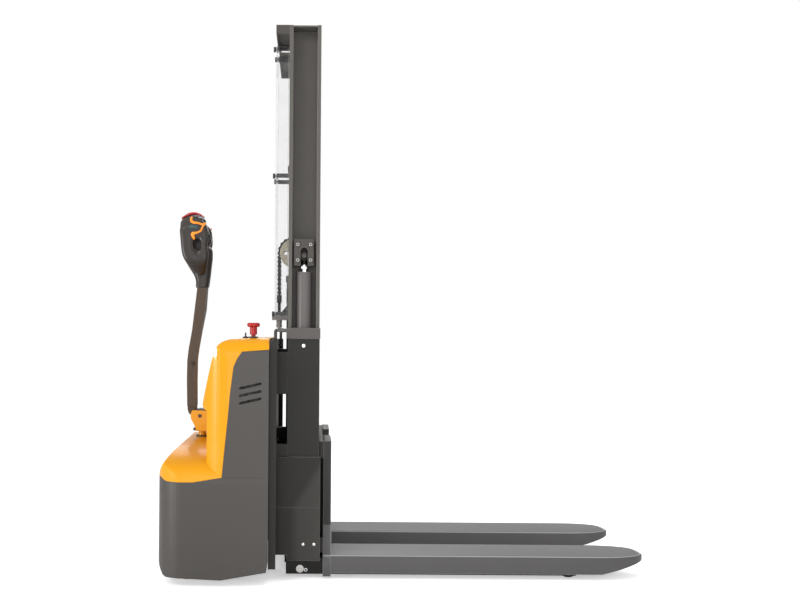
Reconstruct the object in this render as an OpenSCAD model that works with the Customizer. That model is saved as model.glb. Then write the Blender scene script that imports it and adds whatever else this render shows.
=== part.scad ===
/* [Length chain, rear to front] */
// Length of the hood from its rear wall to the bulkhead
hood_l = 394; // [380:1:430]
// Space between the bulkhead and the mast
mast_gap = 62; // [60:1:90]
// Depth of the mast channels along the truck
mast_d = 114; // [114:1:130]
// Space between the mast and the fork shanks
carriage_gap = 17; // [16:1:30]
// Thickness of the fork shanks
shank_t = 29; // [24:1:40]
// Length of the fork blades in front of the shanks
fork_l = 1151; // [1150:5:1400]

/* [Hood] */
// Width over the hood
hood_w = 800; // [780:2:860]
// Wall thickness of the hood mouldings
hood_wall = 4; // [3:0.5:5]
// Corner radius of the hood in plan
hood_corner = 100; // [80:5:110]
// Height of the tower of the hood
tower_top = 868; // [866:1:900]
// Height of the deck at the centre line
deck_top = 480; // [478:1:484]
// Height of the joint line between skirt and deck
skirt_top = 364; // [350:1:366]
// Space at the joint line between the two mouldings
seam = 0.4; // [0.3:0.1:0.8]
// Length of a cooling slot
vent_l = 80; // [50:1:84]
// Width of a cooling slot
vent_w = 9; // [6:0.5:12]
// Distance between cooling slots
vent_pitch = 26; // [20:1:30]

/* [Chassis] */
// Thickness of the bulkhead plate
bulk_t = 8; // [6:1:10]
// Top of the bulkhead
bulk_top = 860; // [850:1:862]
// Distance of the bulkhead sides from the sides of the hood
bulk_inset = 15; // [14:1:30]
// Height of the drive plate
plate_z = 246; // [240:1:250]
// Thickness of the drive plate
plate_t = 10; // [8:1:10]
// Thickness of the side guide plates
guide_t = 8; // [8:1:10]
// Running space between mast and guide plate
guide_gap = 2.3; // [2:0.1:3]
// Height of the upper guide rollers
guide_hi = 841; // [835:1:842]
// Height of the lower guide rollers
guide_lo = 262; // [255:1:300]

/* [Mast] */
// Width over the mast channels
mast_w = 576; // [572:2:576]
// Top of the mast
mast_top = 1996; // [1990:2:2100]
// Thickness of the channel flanges
flange_t = 13; // [12:0.5:13.5]
// Thickness of the channel web
web_t = 10; // [8:1:11]
// Depth of the outer recess of a channel
recess_out = 56; // [54:1:58]
// Depth of the inner recess of a channel
recess_in = 28; // [28:1:32]
// Travel of the initial lift
initial_lift = 100; // [80:5:100]
// Travel of the lift cylinder, half the travel of the forks
rod_travel = 750; // [500:10:752]

/* [Rollers] */
// Diameter of the mast rollers
roller_d = 87; // [84:0.5:87]
// Width of the guide rollers
guide_roller_w = 28; // [24:1:30]
// Width of the carriage rollers
carriage_roller_w = 24; // [20:1:24]
// Diameter of the roller pins
roller_pin = 30; // [24:1:34]
// Radial clearance of turning pins in their bores
fit = 0.05; // [0.03:0.01:0.09]

/* [Lift cylinder and chain] */
// Outer diameter of the lift cylinder
barrel_d = 60; // [54:1:62]
// Height of the barrel top
barrel_top = 1085; // [1060:5:1090]
// Diameter of the lift rod
rod_d = 36; // [30:1:40]
// Height of the chain pulley centre
pulley_z = 1198; // [1190:1:1210]
// Radius of the chain line on the pulley
chain_r = 58.5; // [56:0.5:60]
// Pitch of the lift chain
chain_p = 19.05; // [15:0.05:22]
// Height of a chain plate
chain_h = 16; // [14:1:17]
// Width over the lift chain
chain_w = 22; // [18:1:24]
// Height of the chain anchor end
anchor_z = 1035; // [1020:1:1040]

/* [Initial lift] */
// Diameter of the initial lift cylinders
init_d = 54; // [48:1:54]
// Height of the cylinder seats
init_seat = 905; // [904:1:910]
// Length of the initial lift cylinders
init_l = 202; // [190:1:203]
// Diameter of the initial lift rods
init_rod = 22; // [18:1:26]
// Diameter of the crank shaft
crank_d = 24; // [20:1:26]
// Height of the crank shaft
crank_z = 34; // [32:1:36]
// Length of the crank levers
crank_l = 85; // [84:1:86]
// Length of the rod levers on the crank shaft
crank_r = 20.5; // [20:0.5:21]

/* [Support arms] */
// Width of a support arm
arm_w = 150; // [140:1:152]
// Distance from the centre line to the middle of an arm
arm_y = 196; // [190:1:200]
// Height of the arm top
arm_top = 75; // [74:1:76]
// Height of the arm underside
arm_bot = 15; // [12:1:18]
// Wall thickness of the arms
arm_wall = 6; // [5:1:6]
// Diameter of the load wheels
wheel_d = 80; // [76:1:80]
// Width of the load wheels
wheel_w = 94; // [80:1:96]
// Distance of the load wheels from the front of the shanks
wheel_at = 870; // [840:5:880]
// Length of the swing arms, pivot to wheel
swing_l = 160; // [158:1:162]
// Height of the swing pivot
swing_z = 58; // [57:0.5:58]
// Length of the pull lever on the swing arm
swing_r = 34; // [33:0.5:34]

/* [Forks] */
// Width over both forks
fork_over = 570; // [560:2:576]
// Width of one fork
fork_w = 178; // [170:1:180]
// Height of the fork top when lowered
fork_top = 88; // [88:1:92]
// Thickness of the fork plates
fork_t = 6; // [5:0.5:6]
// Height of the fork side edge
fork_bot = 22; // [18:1:30]
// Width of the fork nose
nose_w = 77; // [60:1:100]
// Length of the taper in plan
taper_l = 250; // [200:5:255]
// Height of the shank top
shank_top = 499; // [480:1:510]

/* [Drive and castors] */
// Distance of the steering axis from the hood rear
steer_at = 117; // [115:1:119]
// Diameter of the drive wheel
drive_d = 200; // [180:2:200]
// Width of the drive wheel
drive_w = 60; // [50:1:62]
// Diameter of the traction motor
motor_d = 130; // [110:2:134]
// Diameter of the castor wheels
castor_d = 125; // [110:1:125]
// Width of the castor wheels
castor_w = 40; // [30:1:44]
// Trail of the castors
castor_trail = 35; // [25:1:36]
// Distance of the castors from the sides of the hood
castor_in = 115; // [112:1:120]

/* [Tiller] */
// Distance of the tiller pivot behind the steering axis
pivot_back = 6; // [5:0.5:7]
// Height of the tiller pivot
pivot_z = 562; // [560:1:564]
// Width of the tiller arm
tiller_w = 60; // [50:1:64]
// Width over the tiller grips
grip_over = 190; // [180:2:210]

/* [Hidden] */
$fn = 48;

// Stations along the truck. The origin is the middle of the overall length.
overall_l = hood_l + mast_gap + mast_d + carriage_gap + shank_t + fork_l;
xr = -overall_l / 2;
xb = xr + hood_l;
xm = xb + mast_gap;
xf = xm + mast_d;
xs = xf + carriage_gap;
xh = xs + shank_t;
xt = xh + fork_l;
xmc = (xm + xf) / 2;
x_steer = xr + steer_at;
x_bf = xb + bulk_t;

// Stations across the truck.
mast_o = mast_w / 2;
web_o = mast_o - recess_out;
web_i = web_o - web_t;
mast_i = web_i - recess_in;
guide_y = mast_o + guide_gap;
plate_y = guide_y + guide_t;
bulk_hw = hood_w / 2 - bulk_inset;
cheek_t = 5.7;
cheek_y = plate_y + cheek_t;
arm_o = arm_y + arm_w / 2;
arm_i = arm_y - arm_w / 2;
fork_o = fork_over / 2;
fork_i = fork_o - fork_w;

// Lift train.
x_cyl = xm + 17;
x_chain_r = x_cyl - chain_r;
x_chain_f = x_cyl + chain_r;
x_crank = xm + 49;
x_wheel = xh + wheel_at;
wheel_z = wheel_d / 2;
swing_up = asin((swing_z - wheel_z) / swing_l);
x_swing = x_wheel - swing_l * cos(swing_up);
crank_a = asin(initial_lift / 2 / crank_l);
roller_r = 12;
shoe_z = crank_z + initial_lift / 2 + roller_r + 1.6;
init_y = web_o + 2 + init_d / 2;
init_top = init_seat + init_l;
eye_z = init_top + 58;
car_lo = 128;
car_hi = 388;
side_y = mast_i - 2;
side_t = 12;
nib = 0.3;
// Length of the lift rod that stays in the barrel at full travel.
rod_guided = 225;

// Box between two corners.
module box(x0, x1, y0, y1, z0, z1) {
    translate([x0, y0, z0]) cube([x1 - x0, y1 - y0, z1 - z0]);
}
// Upright cylinder.
module rod_z(x, y, d, z0, z1) { translate([x, y, z0]) cylinder(d = d, h = z1 - z0); }
// Cylinder across the truck.
module rod_y(x, z, d, y0, y1) {
    translate([x, y1, z]) rotate([90, 0, 0]) cylinder(d = d, h = y1 - y0);
}
// Cylinder along the truck.
module rod_x(y, z, d, x0, x1) { translate([x0, y, z]) rotate([0, 90, 0]) cylinder(d = d, h = x1 - x0); }
// Side outline carried across the truck from y0 to y1.
module across(y0, y1) { translate([0, y1, 0]) rotate([90, 0, 0]) linear_extrude(y1 - y0) children(); }
// Front outline carried along the truck from x0 to x1.
module along(x0, x1) { translate([x0, 0, 0]) rotate([90, 0, 90]) linear_extrude(x1 - x0) children(); }
module both() { children(); mirror([0, 1, 0]) children(); }
function arc(cx, cy, r, a0, a1, n) =
    [for (i = [0:n]) let (a = a0 + (a1 - a0) * i / n) [cx + r * cos(a), cy + r * sin(a)]];

// Hood

// Side outline of the tower, inset by t and open to the front when inset.
module tower_side(t) {
    f = hood_l + (t > 0 ? 40 : 0);
    k = tower_top;
    translate([xr, 0]) offset(delta = -t) polygon([[f, k], [hood_l - 100, k - 2], [265, k - 4],
        [250, k - 6], [238, k - 10], [226, k - 16], [216, k - 24], [209, k - 35], [203, k - 49],
        [190, k - 89], [156, 631], [157, 625], [161, 619], [168, 614], [175, 612], [175, 380], [f, 380]]);
}
// Side outline of the deck and skirt.
module deck_side(t) {
    f = hood_l + (t > 0 ? 40 : 0);
    translate([xr, 0]) {
        offset(delta = -t) polygon([[0, 84], [0, skirt_top + 12], [6, 396], [16, 416], [30, 438],
            [46, 459], [58, 470], [71, deck_top - 2], [84, deck_top], [f, deck_top], [f, 89],
            [hood_l - 6, 52], [229, 24], [97, 30], [34, 30], [22, 36], [9, 56], [3, 70]]);
        if (t > 0) translate([34 + t, -40]) square([f - 34 - 2 * t, 100]);
    }
}
// Plan outline with round rear corners, starting s behind the given station.
module hood_plan(s, r, t) {
    w = hood_w / 2 - t;
    f = hood_l + (t > 0 ? 40 : 0);
    translate([xr, 0]) polygon(concat([[f, -w], [f, w]],
        arc(s + r, hood_w / 2 - r, r - t, 90, 180, 12), arc(s + r, r - hood_w / 2, r - t, 180, 270, 12)));
}
// Front outline of the tower with round shoulders.
module tower_front(t) {
    w = hood_w / 2 - t;
    r = 60;
    polygon(concat([[-w, 300], [w, 300]], arc(hood_w / 2 - r, tower_top - r, r - t, 0, 90, 8),
        arc(r - hood_w / 2, tower_top - r, r - t, 90, 180, 8)));
}
// Crowned front outline of the deck.
function crown(u) = skirt_top - 4 + (deck_top - skirt_top + 4) * pow(1 - pow(abs(u), 2.6), 1 / 2.6);
module deck_front(t) {
    offset(delta = -t) polygon(concat([[-hood_w / 2, -60], [hood_w / 2, -60]],
        [for (i = [0:40]) let (u = cos(180 * i / 40)) [u * hood_w / 2, crown(u)]]));
}
module hood_form(t) {
    intersection() {
        across(-hood_w, hood_w) tower_side(t);
        linear_extrude(1200) hood_plan(150, hood_corner, t);
        along(xr, xb + 60) tower_front(t);
    }
    intersection() {
        across(-hood_w, hood_w) deck_side(t);
        translate([0, 0, -60]) linear_extrude(1200) hood_plan(0, hood_corner, t);
        along(xr, xb + 60) deck_front(t);
    }
}
// Side outline of the grey skirt, which rises into a panel beside the tower.
module skirt_side(g) {
    translate([xr, 0]) offset(delta = g) polygon([[-40, skirt_top + 14], [12, skirt_top + 13],
        [22, skirt_top + 6], [34, skirt_top + 1], [72, skirt_top], [130, skirt_top],
        [hood_l - 162, skirt_top + 17], [hood_l - 156, 444], [hood_l - 142, 586],
        [hood_l - 135, 670], [hood_l - 123, 767], [hood_l - 110, 797], [hood_l - 94, 820],
        [hood_l - 6, 827], [hood_l + 50, 828], [hood_l + 50, -100], [-40, -100]]);
}
module hood_shell() {
    difference() {
        hood_form(0);
        hood_form(hood_wall);
    }
}
module vents() {
    for (i = [0:2]) translate([xb - 64, 0, 701 - i * vent_pitch]) rotate([0, -13, 0]) {
        box(vent_w / 2 - vent_l / 2, vent_l / 2 - vent_w / 2, -hood_w, hood_w, -vent_w / 2, vent_w / 2);
        for (s = [-1, 1]) rod_y(s * (vent_l - vent_w) / 2, 0, vent_w, -hood_w, hood_w);
    }
}
module hood_skirt() {
    color([0.36, 0.35, 0.34]) difference() {
        intersection() {
            hood_shell();
            across(-hood_w, hood_w) skirt_side(0);
        }
        vents();
    }
}
sw_x = xb - 61;
sw_y = -300;
key_x = sw_x - 28;
module hood_cover() {
    color([0.98, 0.72, 0.07]) difference() {
        hood_shell();
        across(-hood_w, hood_w) skirt_side(seam);
        rod_z(x_steer, 0, 38, 400, 600);
        rod_z(sw_x, sw_y, 24, tower_top - 60, tower_top + 30);
        rod_z(key_x, sw_y, 20, tower_top - 60, tower_top + 30);
    }
}

// Chassis

castor_x = xr + 135;
castor_y = hood_w / 2 - castor_in;
ring_d = 150;
shelf_z = 484;
link_z0 = 443;
link_z1 = 487;
brk_z0 = 667;
brk_z1 = 818;
module chassis_frame() {
    color([0.25, 0.24, 0.23]) {
        difference() {
            union() {
                // bulkhead with its side flanges
                box(xb, x_bf, -bulk_hw, bulk_hw, 60, bulk_top);
                both() box(xb, xb + 26, bulk_hw - bulk_t, bulk_hw, 60, bulk_top);
                // drive plate following the inside of the skirt
                intersection() {
                    translate([0, 0, plate_z]) linear_extrude(plate_t)
                        hood_plan(0, hood_corner, hood_wall + nib);
                    box(xr, xb, -hood_w, hood_w, 0, 600);
                }
                // slewing ring seat
                rod_z(x_steer, 0, ring_d + 50, plate_z - 6, plate_z + plate_t);
                // gussets between bulkhead and drive plate
                both() across(128, 136) polygon([[xb, 90], [xb, plate_z], [xb - 120, plate_z]]);
                // shelf for the hydraulic unit
                box(xb - 196, xb, -300, 300, shelf_z - 6, shelf_z);
                both() across(290, 296) polygon([[xb, shelf_z - 120], [xb, shelf_z], [xb - 120, shelf_z]]);
                // castor posts
                both() rod_z(castor_x, castor_y, 56, 149, plate_z + 1);
                both() rod_z(castor_x, castor_y, 84, plate_z - 8, plate_z + 1);
                // shoes that press on the crank rollers
                both() box(xb + 12, xb + 53, arm_y - 40, arm_y - 18, shoe_z, shoe_z + 34);
                both() box(xb, xb + 20, arm_y - 40, arm_y - 18, shoe_z, shoe_z + 34);
                // links to the mast guides
                both() box(xb, xm + 1, guide_y, plate_y, link_z0, link_z1);
                both() box(xb, xm + 1, guide_y, plate_y, brk_z0, brk_z1);
                both() box(xb, xb + 26, guide_y - 40, cheek_y, brk_z0, brk_z1);
                both() box(xb, xb + 26, guide_y - 40, cheek_y, link_z0, link_z1);
            }
            rod_z(x_steer, 0, ring_d + 0.2, 200, 300);
            both() rod_z(castor_x, castor_y, 20 + 2 * fit, 140, 200);
            // hose holes
            both() rod_x(cheek_y - 8, 836, 16, xb - 1, xb + 40);
        }
    }
}
block_y = mast_o - 9;
// One mast guide: side plate, lower cheek plate, cap band with its plug and the roller pins.
module guide(side) {
    mirror([0, side > 0 ? 0 : 1, 0]) color([0.27, 0.26, 0.25]) {
        difference() {
            union() {
                box(xm + 1, xf + 1, guide_y, plate_y, 72, 866);
                // lower cheek with a round rear corner
                across(plate_y, cheek_y) translate([x_bf, 0]) polygon(concat(
                    [[xm - x_bf + 3, 91], [xm - x_bf + 3, 70], [xf - x_bf + 6, 70],
                    [xf - x_bf + 6, 442]], arc(18, 424, 18, 90, 180, 8), [[0, 91]]));
                // folded front and top edges of the cheek
                box(xf - 1, xf + 6, guide_y, cheek_y, 70, 442);
                // cap band round the top of the guide
                box(xm - 5, xf + 3, guide_y, cheek_y, 866, init_seat - 1);
                box(xmc - 42, xmc + 42, web_o + 4, cheek_y, init_seat - 18, init_seat);
                // roller pins
                for (z = [guide_lo, guide_hi]) {
                    rod_y(xmc, z, roller_pin, mast_o - 42, guide_y + 1);
                    rod_y(xmc, z, roller_pin + 8, mast_o - 42, mast_o - 38.7);
                    rod_y(xmc, z, roller_pin + 10, mast_o - 9.3, guide_y + 1);
                }
            }
            for (x = [xmc + 3, xmc + 42]) rod_y(x, 130, 12.4, guide_y - 1, cheek_y + 1);
        }
        // slide block in the outer recess
        difference() {
            box(xmc - 42, xmc + 42, block_y, guide_y, 111, 151);
            for (x = [xmc + 3]) rod_y(x, 130, 12.4, mast_o - 20, guide_y + 1);
        }
    }
}
module hex_y(x, z, af, y0, y1) {
    translate([x, y1, z]) rotate([90, 0, 0]) cylinder(d = af / cos(30), h = y1 - y0, $fn = 6);
}
module guide_bolts() {
    color("dimgray") both() {
        for (x = [xmc + 3, xmc + 42]) {
            hex_y(x, 130, 19, cheek_y, cheek_y + 7);
            rod_y(x, 130, 12, x > xmc + 10 ? guide_y : block_y, cheek_y + 1);
        }
        hex_y(xmc, guide_hi, 19, plate_y, plate_y + 7);
    }
}
module battery_pack() {
    color([0.15, 0.15, 0.16]) both() {
        difference() {
            box(xb - 174, xb - 4, 6, 266, plate_z + plate_t + nib, plate_z + plate_t + 206);
            for (y = [40, 186]) box(xb - 110, xb - 70, y, y + 46, plate_z + plate_t + 200, 600);
        }
        for (x = [xb - 150, xb - 28]) rod_z(x, 136, 16, plate_z + plate_t + 205, plate_z + plate_t + 218);
    }
}
module hydraulic_unit() {
    color([0.6, 0.6, 0.58]) {
        box(xb - 170, xb - 14, -270, -30, shelf_z + nib, shelf_z + 220);
        rod_z(xb - 60, -220, 44, shelf_z + 219, shelf_z + 240);
        box(xb - 130, xb - 50, -31, 30, shelf_z + 30, shelf_z + 120);
        rod_y(xb - 90, shelf_z + 75, 110, 29, 210);
        box(xb - 130, xb - 50, 60, 180, shelf_z + nib, shelf_z + 40);
        rod_y(xb - 90, shelf_z + 75, 60, 209, 222);
    }
}
module controller() {
    color([0.2, 0.2, 0.22]) {
        box(xb - 50, xb, 236, 330, 560, 760);
        for (i = [0:7]) box(xb - 66, xb - 49, 242 + i * 11, 246 + i * 11, 570, 750);
    }
}
module initial_cylinders() {
    color([0.33, 0.32, 0.31]) both() {
        difference() {
            union() {
                rod_z(xmc, init_y, init_d, init_seat, init_top - 8);
                rod_z(xmc, init_y, init_d - 2, init_top - 9, init_top - 6);
                rod_z(xmc, init_y, init_d, init_top - 6.5, init_top);
            }
            rod_z(xmc, init_y, init_rod + 2 * fit, init_seat + 6, init_top + 1);
        }
        // hose union on the rear of the cap band
        rod_x(cheek_y - 8, 896, 13, xm - 16, xm - 5);
        rod_x(cheek_y - 8, 896, 16, xm - 26, xm - 16);
        rod_x(cheek_y - 8, 896, 12, xm - 38, xm - 26);
    }
}
module hydraulic_hoses() {
    color([0.08, 0.08, 0.08]) both() {
        translate([xm - 44, cheek_y - 8, 890]) rotate([90, 0, 0]) translate([6, 0, 0]) rotate([0, 0, 90])
            rotate_extrude(angle = 90, $fn = 48) translate([6, 0]) circle(d = 11.4, $fn = 24);
        rod_z(xm - 44, cheek_y - 8, 11.4, 842, 890);
        translate([xm - 50, cheek_y - 8, 842]) rotate([90, 0, 0]) rotate([0, 0, -90])
            rotate_extrude(angle = 90, $fn = 48) translate([6, 0]) circle(d = 11.4, $fn = 24);
        rod_x(cheek_y - 8, 836, 11.4, x_bf - 30, xm - 50);
    }
}
module switch_bases() {
    color([0.1, 0.1, 0.1]) {
        // emergency stop collar
        difference() {
            union() {
                rod_z(sw_x, sw_y, 23.4, tower_top - 40, tower_top + nib);
                rod_z(sw_x, sw_y, 34, tower_top + nib, tower_top + 5);
            }
            rod_z(sw_x, sw_y, 16 + 2 * fit, tower_top - 30, tower_top + 10);
        }
        // key switch barrel
        difference() {
            union() {
                rod_z(key_x, sw_y, 19.4, tower_top - 30, tower_top + nib);
                rod_z(key_x, sw_y, 22, tower_top + nib, tower_top + 4);
            }
            rod_z(key_x, sw_y, 10 + 2 * fit, tower_top - 20, tower_top + 10);
        }
    }
}
module estop_button() {
    color([0.75, 0.07, 0.08]) {
        rod_z(sw_x, sw_y, 16, tower_top - 20, tower_top + 34);
        rod_z(sw_x, sw_y, 26, tower_top + 12, tower_top + 40);
        translate([sw_x, sw_y, tower_top + 39]) cylinder(d1 = 38, d2 = 46, h = 5);
        rod_z(sw_x, sw_y, 46, tower_top + 44, tower_top + 50);
        translate([sw_x, sw_y, tower_top + 50]) cylinder(d1 = 46, d2 = 38, h = 4);
    }
}
module ignition_key() {
    color([0.12, 0.12, 0.12]) {
        rod_z(key_x, sw_y, 10, tower_top - 15, tower_top + 6);
        box(key_x - 2, key_x + 2, sw_y - 11, sw_y + 11, tower_top + 5, tower_top + 19);
    }
}
module deck_collar() {
    color([0.08, 0.08, 0.08]) difference() {
        union() {
            rod_z(x_steer, 0, 37.4, deck_top - 16, deck_top + 1);
            rod_z(x_steer, 0, 48, deck_top + nib, deck_top + 5);
        }
        rod_z(x_steer, 0, 30.8, 400, 600);
    }
}

// Steering

neck_d = 30;
x_piv = x_steer - pivot_back;
gear_z = plate_z + plate_t + nib;
motor_top = gear_z + 166;
brk_top = motor_top + 22;
module steering_head() {
    color([0.98, 0.72, 0.07]) {
        rod_z(x_steer, 0, neck_d, brk_top, pivot_z - 54);
        difference() {
            across(-42, 42) polygon(concat(arc(x_piv, pivot_z, 36, 180 - asin(21 / 36), 215, 8),
                [[x_steer - 22, pivot_z - 47], [x_steer - 22, pivot_z - 59], [x_steer + 24, pivot_z - 59],
                [x_steer + 33, pivot_z - 50], [x_steer + 33, pivot_z + 14], [x_steer + 26, pivot_z + 21]]));
            // slot for the foot of the arm
            box(x_piv - 60, x_piv + 21, -20, 20, pivot_z - 48, pivot_z + 60);
            rod_y(x_piv, pivot_z, 14 + 2 * fit, -60, 60);
        }
    }
}
module steering_bracket() {
    color([0.1, 0.1, 0.1]) {
        // straps over the motor
        both() box(x_steer - 22, x_steer + 22, motor_d / 2 + 2, motor_d / 2 + 9, gear_z + 10, brk_top);
        box(x_steer - 22, x_steer + 22, -motor_d / 2 - 9, motor_d / 2 + 9, brk_top - 8, brk_top);
        // cover plate of the steering head
        box(x_steer - 17, x_steer + 42, -38, 38, pivot_z + 21, pivot_z + 25);
        // stop bumper under the head
        rod_y(x_steer - 29, pivot_z - 54, 13, -14, 14);
        box(x_steer - 29, x_steer - 22, -8, 8, pivot_z - 58, pivot_z - 50);
    }
}
module drive_gearbox() {
    color([0.45, 0.45, 0.44]) {
        // turning ring and top flange
        rod_z(x_steer, 0, ring_d, plate_z - 14, gear_z + 10);
        rod_z(x_steer, 0, ring_d + 20, gear_z, gear_z + 10);
        // yoke over the wheel and gear case beside it
        box(x_steer - 44, x_steer + 44, -40, 78, drive_d + 8, plate_z - 13);
        difference() {
            union() {
                box(x_steer - 44, x_steer + 44, drive_w / 2 + 6, 78, drive_d / 2, plate_z - 13);
                rod_y(x_steer, drive_d / 2, 100, drive_w / 2 + 6, 78);
                rod_y(x_steer, drive_d / 2, 60, 77, 86);
            }
            for (i = [0:5]) translate([x_steer, 0, drive_d / 2]) rotate([0, 60 * i, 0])
                rod_y(40, 0, 8, 74, 90);
        }
        rod_y(x_steer, drive_d / 2, 40, -drive_w / 2 - 6, drive_w / 2 + 8);
        rod_y(x_steer, drive_d / 2, 56, -drive_w / 2 - 6, -drive_w / 2 - 1);
    }
}
module traction_motor() {
    color([0.16, 0.16, 0.17]) {
        rod_z(x_steer, 0, motor_d, gear_z + 10, motor_top);
        rod_z(x_steer, 0, motor_d - 40, motor_top - 1, motor_top + 13);
        for (i = [0:5]) rotate_about(x_steer, 0, i * 60)
            box(motor_d / 2 - 2, motor_d / 2 + 4, -5, 5, gear_z + 10, motor_top - 12);
    }
}
// Turn about an upright axis.
module rotate_about(x, y, a) { translate([x, y, 0]) rotate([0, 0, a]) children(); }
module drive_wheel_hub() {
    color([0.5, 0.5, 0.5]) difference() {
        rod_y(x_steer, drive_d / 2, drive_d - 40, -drive_w / 2 + 1, drive_w / 2 - 1);
        rod_y(x_steer, drive_d / 2, 40 + 2 * fit, -drive_w, drive_w);
        for (s = [-1, 1]) translate([0, s * (drive_w / 2 - 1), 0]) difference() {
            rod_y(x_steer, drive_d / 2, drive_d - 60, -12, 12);
            rod_y(x_steer, drive_d / 2, 70, -13, 13);
        }
    }
}
module drive_wheel_tyre() {
    color([0.08, 0.08, 0.08]) difference() {
        translate([x_steer, 0, drive_d / 2]) rotate([90, 0, 0]) rotate_extrude($fn = 96)
            polygon([[drive_d / 2 - 20, -drive_w / 2], [drive_d / 2 - 4, -drive_w / 2],
                [drive_d / 2, -drive_w / 2 + 5], [drive_d / 2, drive_w / 2 - 5],
                [drive_d / 2 - 4, drive_w / 2], [drive_d / 2 - 20, drive_w / 2]]);
    }
}

// Tiller

tx = x_piv + 424;
module tiller_arm() {
    color([0.27, 0.24, 0.22]) {
        difference() {
            union() {
                // arm with its bend towards the head
                across(-tiller_w / 2, tiller_w / 2) translate([tx, 0]) polygon([[-475, 598],
                    [-477, 700], [-476, 777], [-471, 820], [-458, 895], [-449, 973], [-439, 1060],
                    [-402, 1060], [-408, 973], [-423, 895], [-436, 820], [-441, 777], [-442, 700],
                    [-441, 598]]);
                // foot in the slot of the steering head
                across(-19.5, 19.5) translate([tx, 0]) polygon(concat([[-475, 600], [-441, 600],
                    [-441, 588]], arc(-424, pivot_z, 19, 120, -110, 12), [[-452, pivot_z - 8], [-470, pivot_z + 8],
                    [-475, 585]]));
            }
            rod_y(x_piv, pivot_z, 12, -60, 60);
            translate([tx, 0, 0]) rod_y(-458, 760, 9, -60, 60);
        }
        // pivot pin and the bolt of the arm
        rod_y(x_piv, pivot_z, 14, -19.5, 19.5);
        rod_y(x_piv, pivot_z, 14, -43.5, 43.5);
        translate([tx, 0, 0]) {
            rod_y(-458, 760, 9, -30, 30);
            both() rod_y(-458, 760, 15, 30, 34);
        }
    }
}
// Side outline of the tiller head.
module head_side() {
    translate([tx, 0]) polygon([[-446, 1060], [-398, 1060], [-396, 1066], [-390, 1110], [-386, 1142],
        [-383, 1180], [-384, 1208], [-398, 1222], [-388, 1230], [-388, 1248], [-396, 1275],
        [-403, 1296], [-412, 1326], [-428, 1340], [-460, 1340], [-503, 1322], [-508, 1310],
        [-504, 1300], [-511, 1286], [-504, 1250], [-497, 1220], [-493, 1177], [-478, 1146],
        [-454, 1108], [-447, 1085]]);
}
// Side outline of a grip, without the lower stem.
module grip_side() {
    translate([tx, 0]) difference() {
        polygon([[-396, 1142], [-392, 1180], [-394, 1206], [-398, 1222], [-394, 1240], [-398, 1270],
            [-406, 1300], [-420, 1326], [-462, 1330], [-500, 1314], [-506, 1288], [-498, 1240],
            [-492, 1180], [-476, 1148], [-440, 1132]]);
polygon([[-424, 1196], [-416, 1210], [-418, 1238], [-428, 1250], [-446, 1246], [-452, 1226],
            [-448, 1204], [-438, 1194]]);
    }
}
module tiller_head() {
    g = grip_over / 2;
    color([0.24, 0.23, 0.22]) {
        difference() {
            union() {
                // stem socket
                across(-34, 34) intersection() {
                    head_side();
                    translate([tx - 600, 1060]) square([400, 60]);
                }
                // core of the head
                across(-30, 30) difference() {
                    head_side();
                    translate([tx - 600, 1000]) square([400, 100]);
                }
                // looped grips at both sides
                both() across(g - 30, g) grip_side();
                // bridges that carry the grips
                both() across(28, g - 28) translate([tx, 0]) polygon([[-410, 1296], [-424, 1322],
                    [-462, 1326], [-498, 1310], [-502, 1292], [-470, 1284]]);
                both() across(28, g - 28) translate([tx, 0]) polygon([[-402, 1146], [-398, 1176],
                    [-446, 1170], [-476, 1168], [-470, 1150], [-440, 1138]]);
            }
            // seat of the reverse pad on the crest
            translate([tx, 0, 0]) {
                box(-452, -424, -24, 24, 1334, 1350);
                // bores of the travel switch and the rocker
                rod_y(-443, 1304, 12 + 2 * fit, -60, 60);
                rod_y(-404, 1256, 6 + 2 * fit, -60, 60);
                both() box(-471, -415, 30, 47, 1291, 1350);
                box(-418, -380, -14, 14, 1236, 1276);
            }
        }
    }
}
module tiller_trim() {
    g = grip_over / 2;
    color([0.95, 0.45, 0.08]) both() across(g + nib, g + 3) translate([tx, 0]) {
        polygon([[-470, 1314], [-466, 1330], [-454, 1330], [-452, 1314], [-436, 1310], [-420, 1304],
            [-404, 1312], [-402, 1304], [-416, 1294], [-424, 1274], [-436, 1258], [-444, 1246],
            [-460, 1248], [-466, 1272], [-444, 1276], [-434, 1288], [-436, 1298], [-452, 1302],
            [-470, 1304]]);
    }
}
// Thumb wheels on a common spindle.
module travel_switch() {
    color([0.07, 0.13, 0.14]) translate([tx, 0, 0]) {
        rod_y(-443, 1304, 12, -46, 46);
        both() difference() {
            rod_y(-443, 1304, 22, 31, 46);
            rod_y(-443, 1304, 6, 40, 50);
        }
        both() across(32, 45) translate([-443, 1304]) polygon([[-6, 8], [6, 8], [8, 31], [-8, 31]]);
    }
}
module reverse_pad() {
    color([0.8, 0.1, 0.1]) translate([tx, 0, 0]) {
        across(-44, 44) polygon([[-500, 1329], [-460, 1346], [-430, 1348], [-408, 1340], [-410, 1348],
            [-428, 1357], [-460, 1362], [-503, 1338]]);
        box(-451.5, -424.5, -23.5, 23.5, 1339.5, 1348);
    }
}
module lift_rocker() {
    color([0.1, 0.1, 0.1]) translate([tx, 0, 0]) {
        rod_y(-404, 1256, 6, -20, 20);
        across(-13, 13) polygon([[-409, 1250], [-409, 1262], [-397, 1270], [-390, 1268], [-391, 1256],
            [-386, 1244], [-393, 1241]]);
    }
}

// Castors

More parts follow.
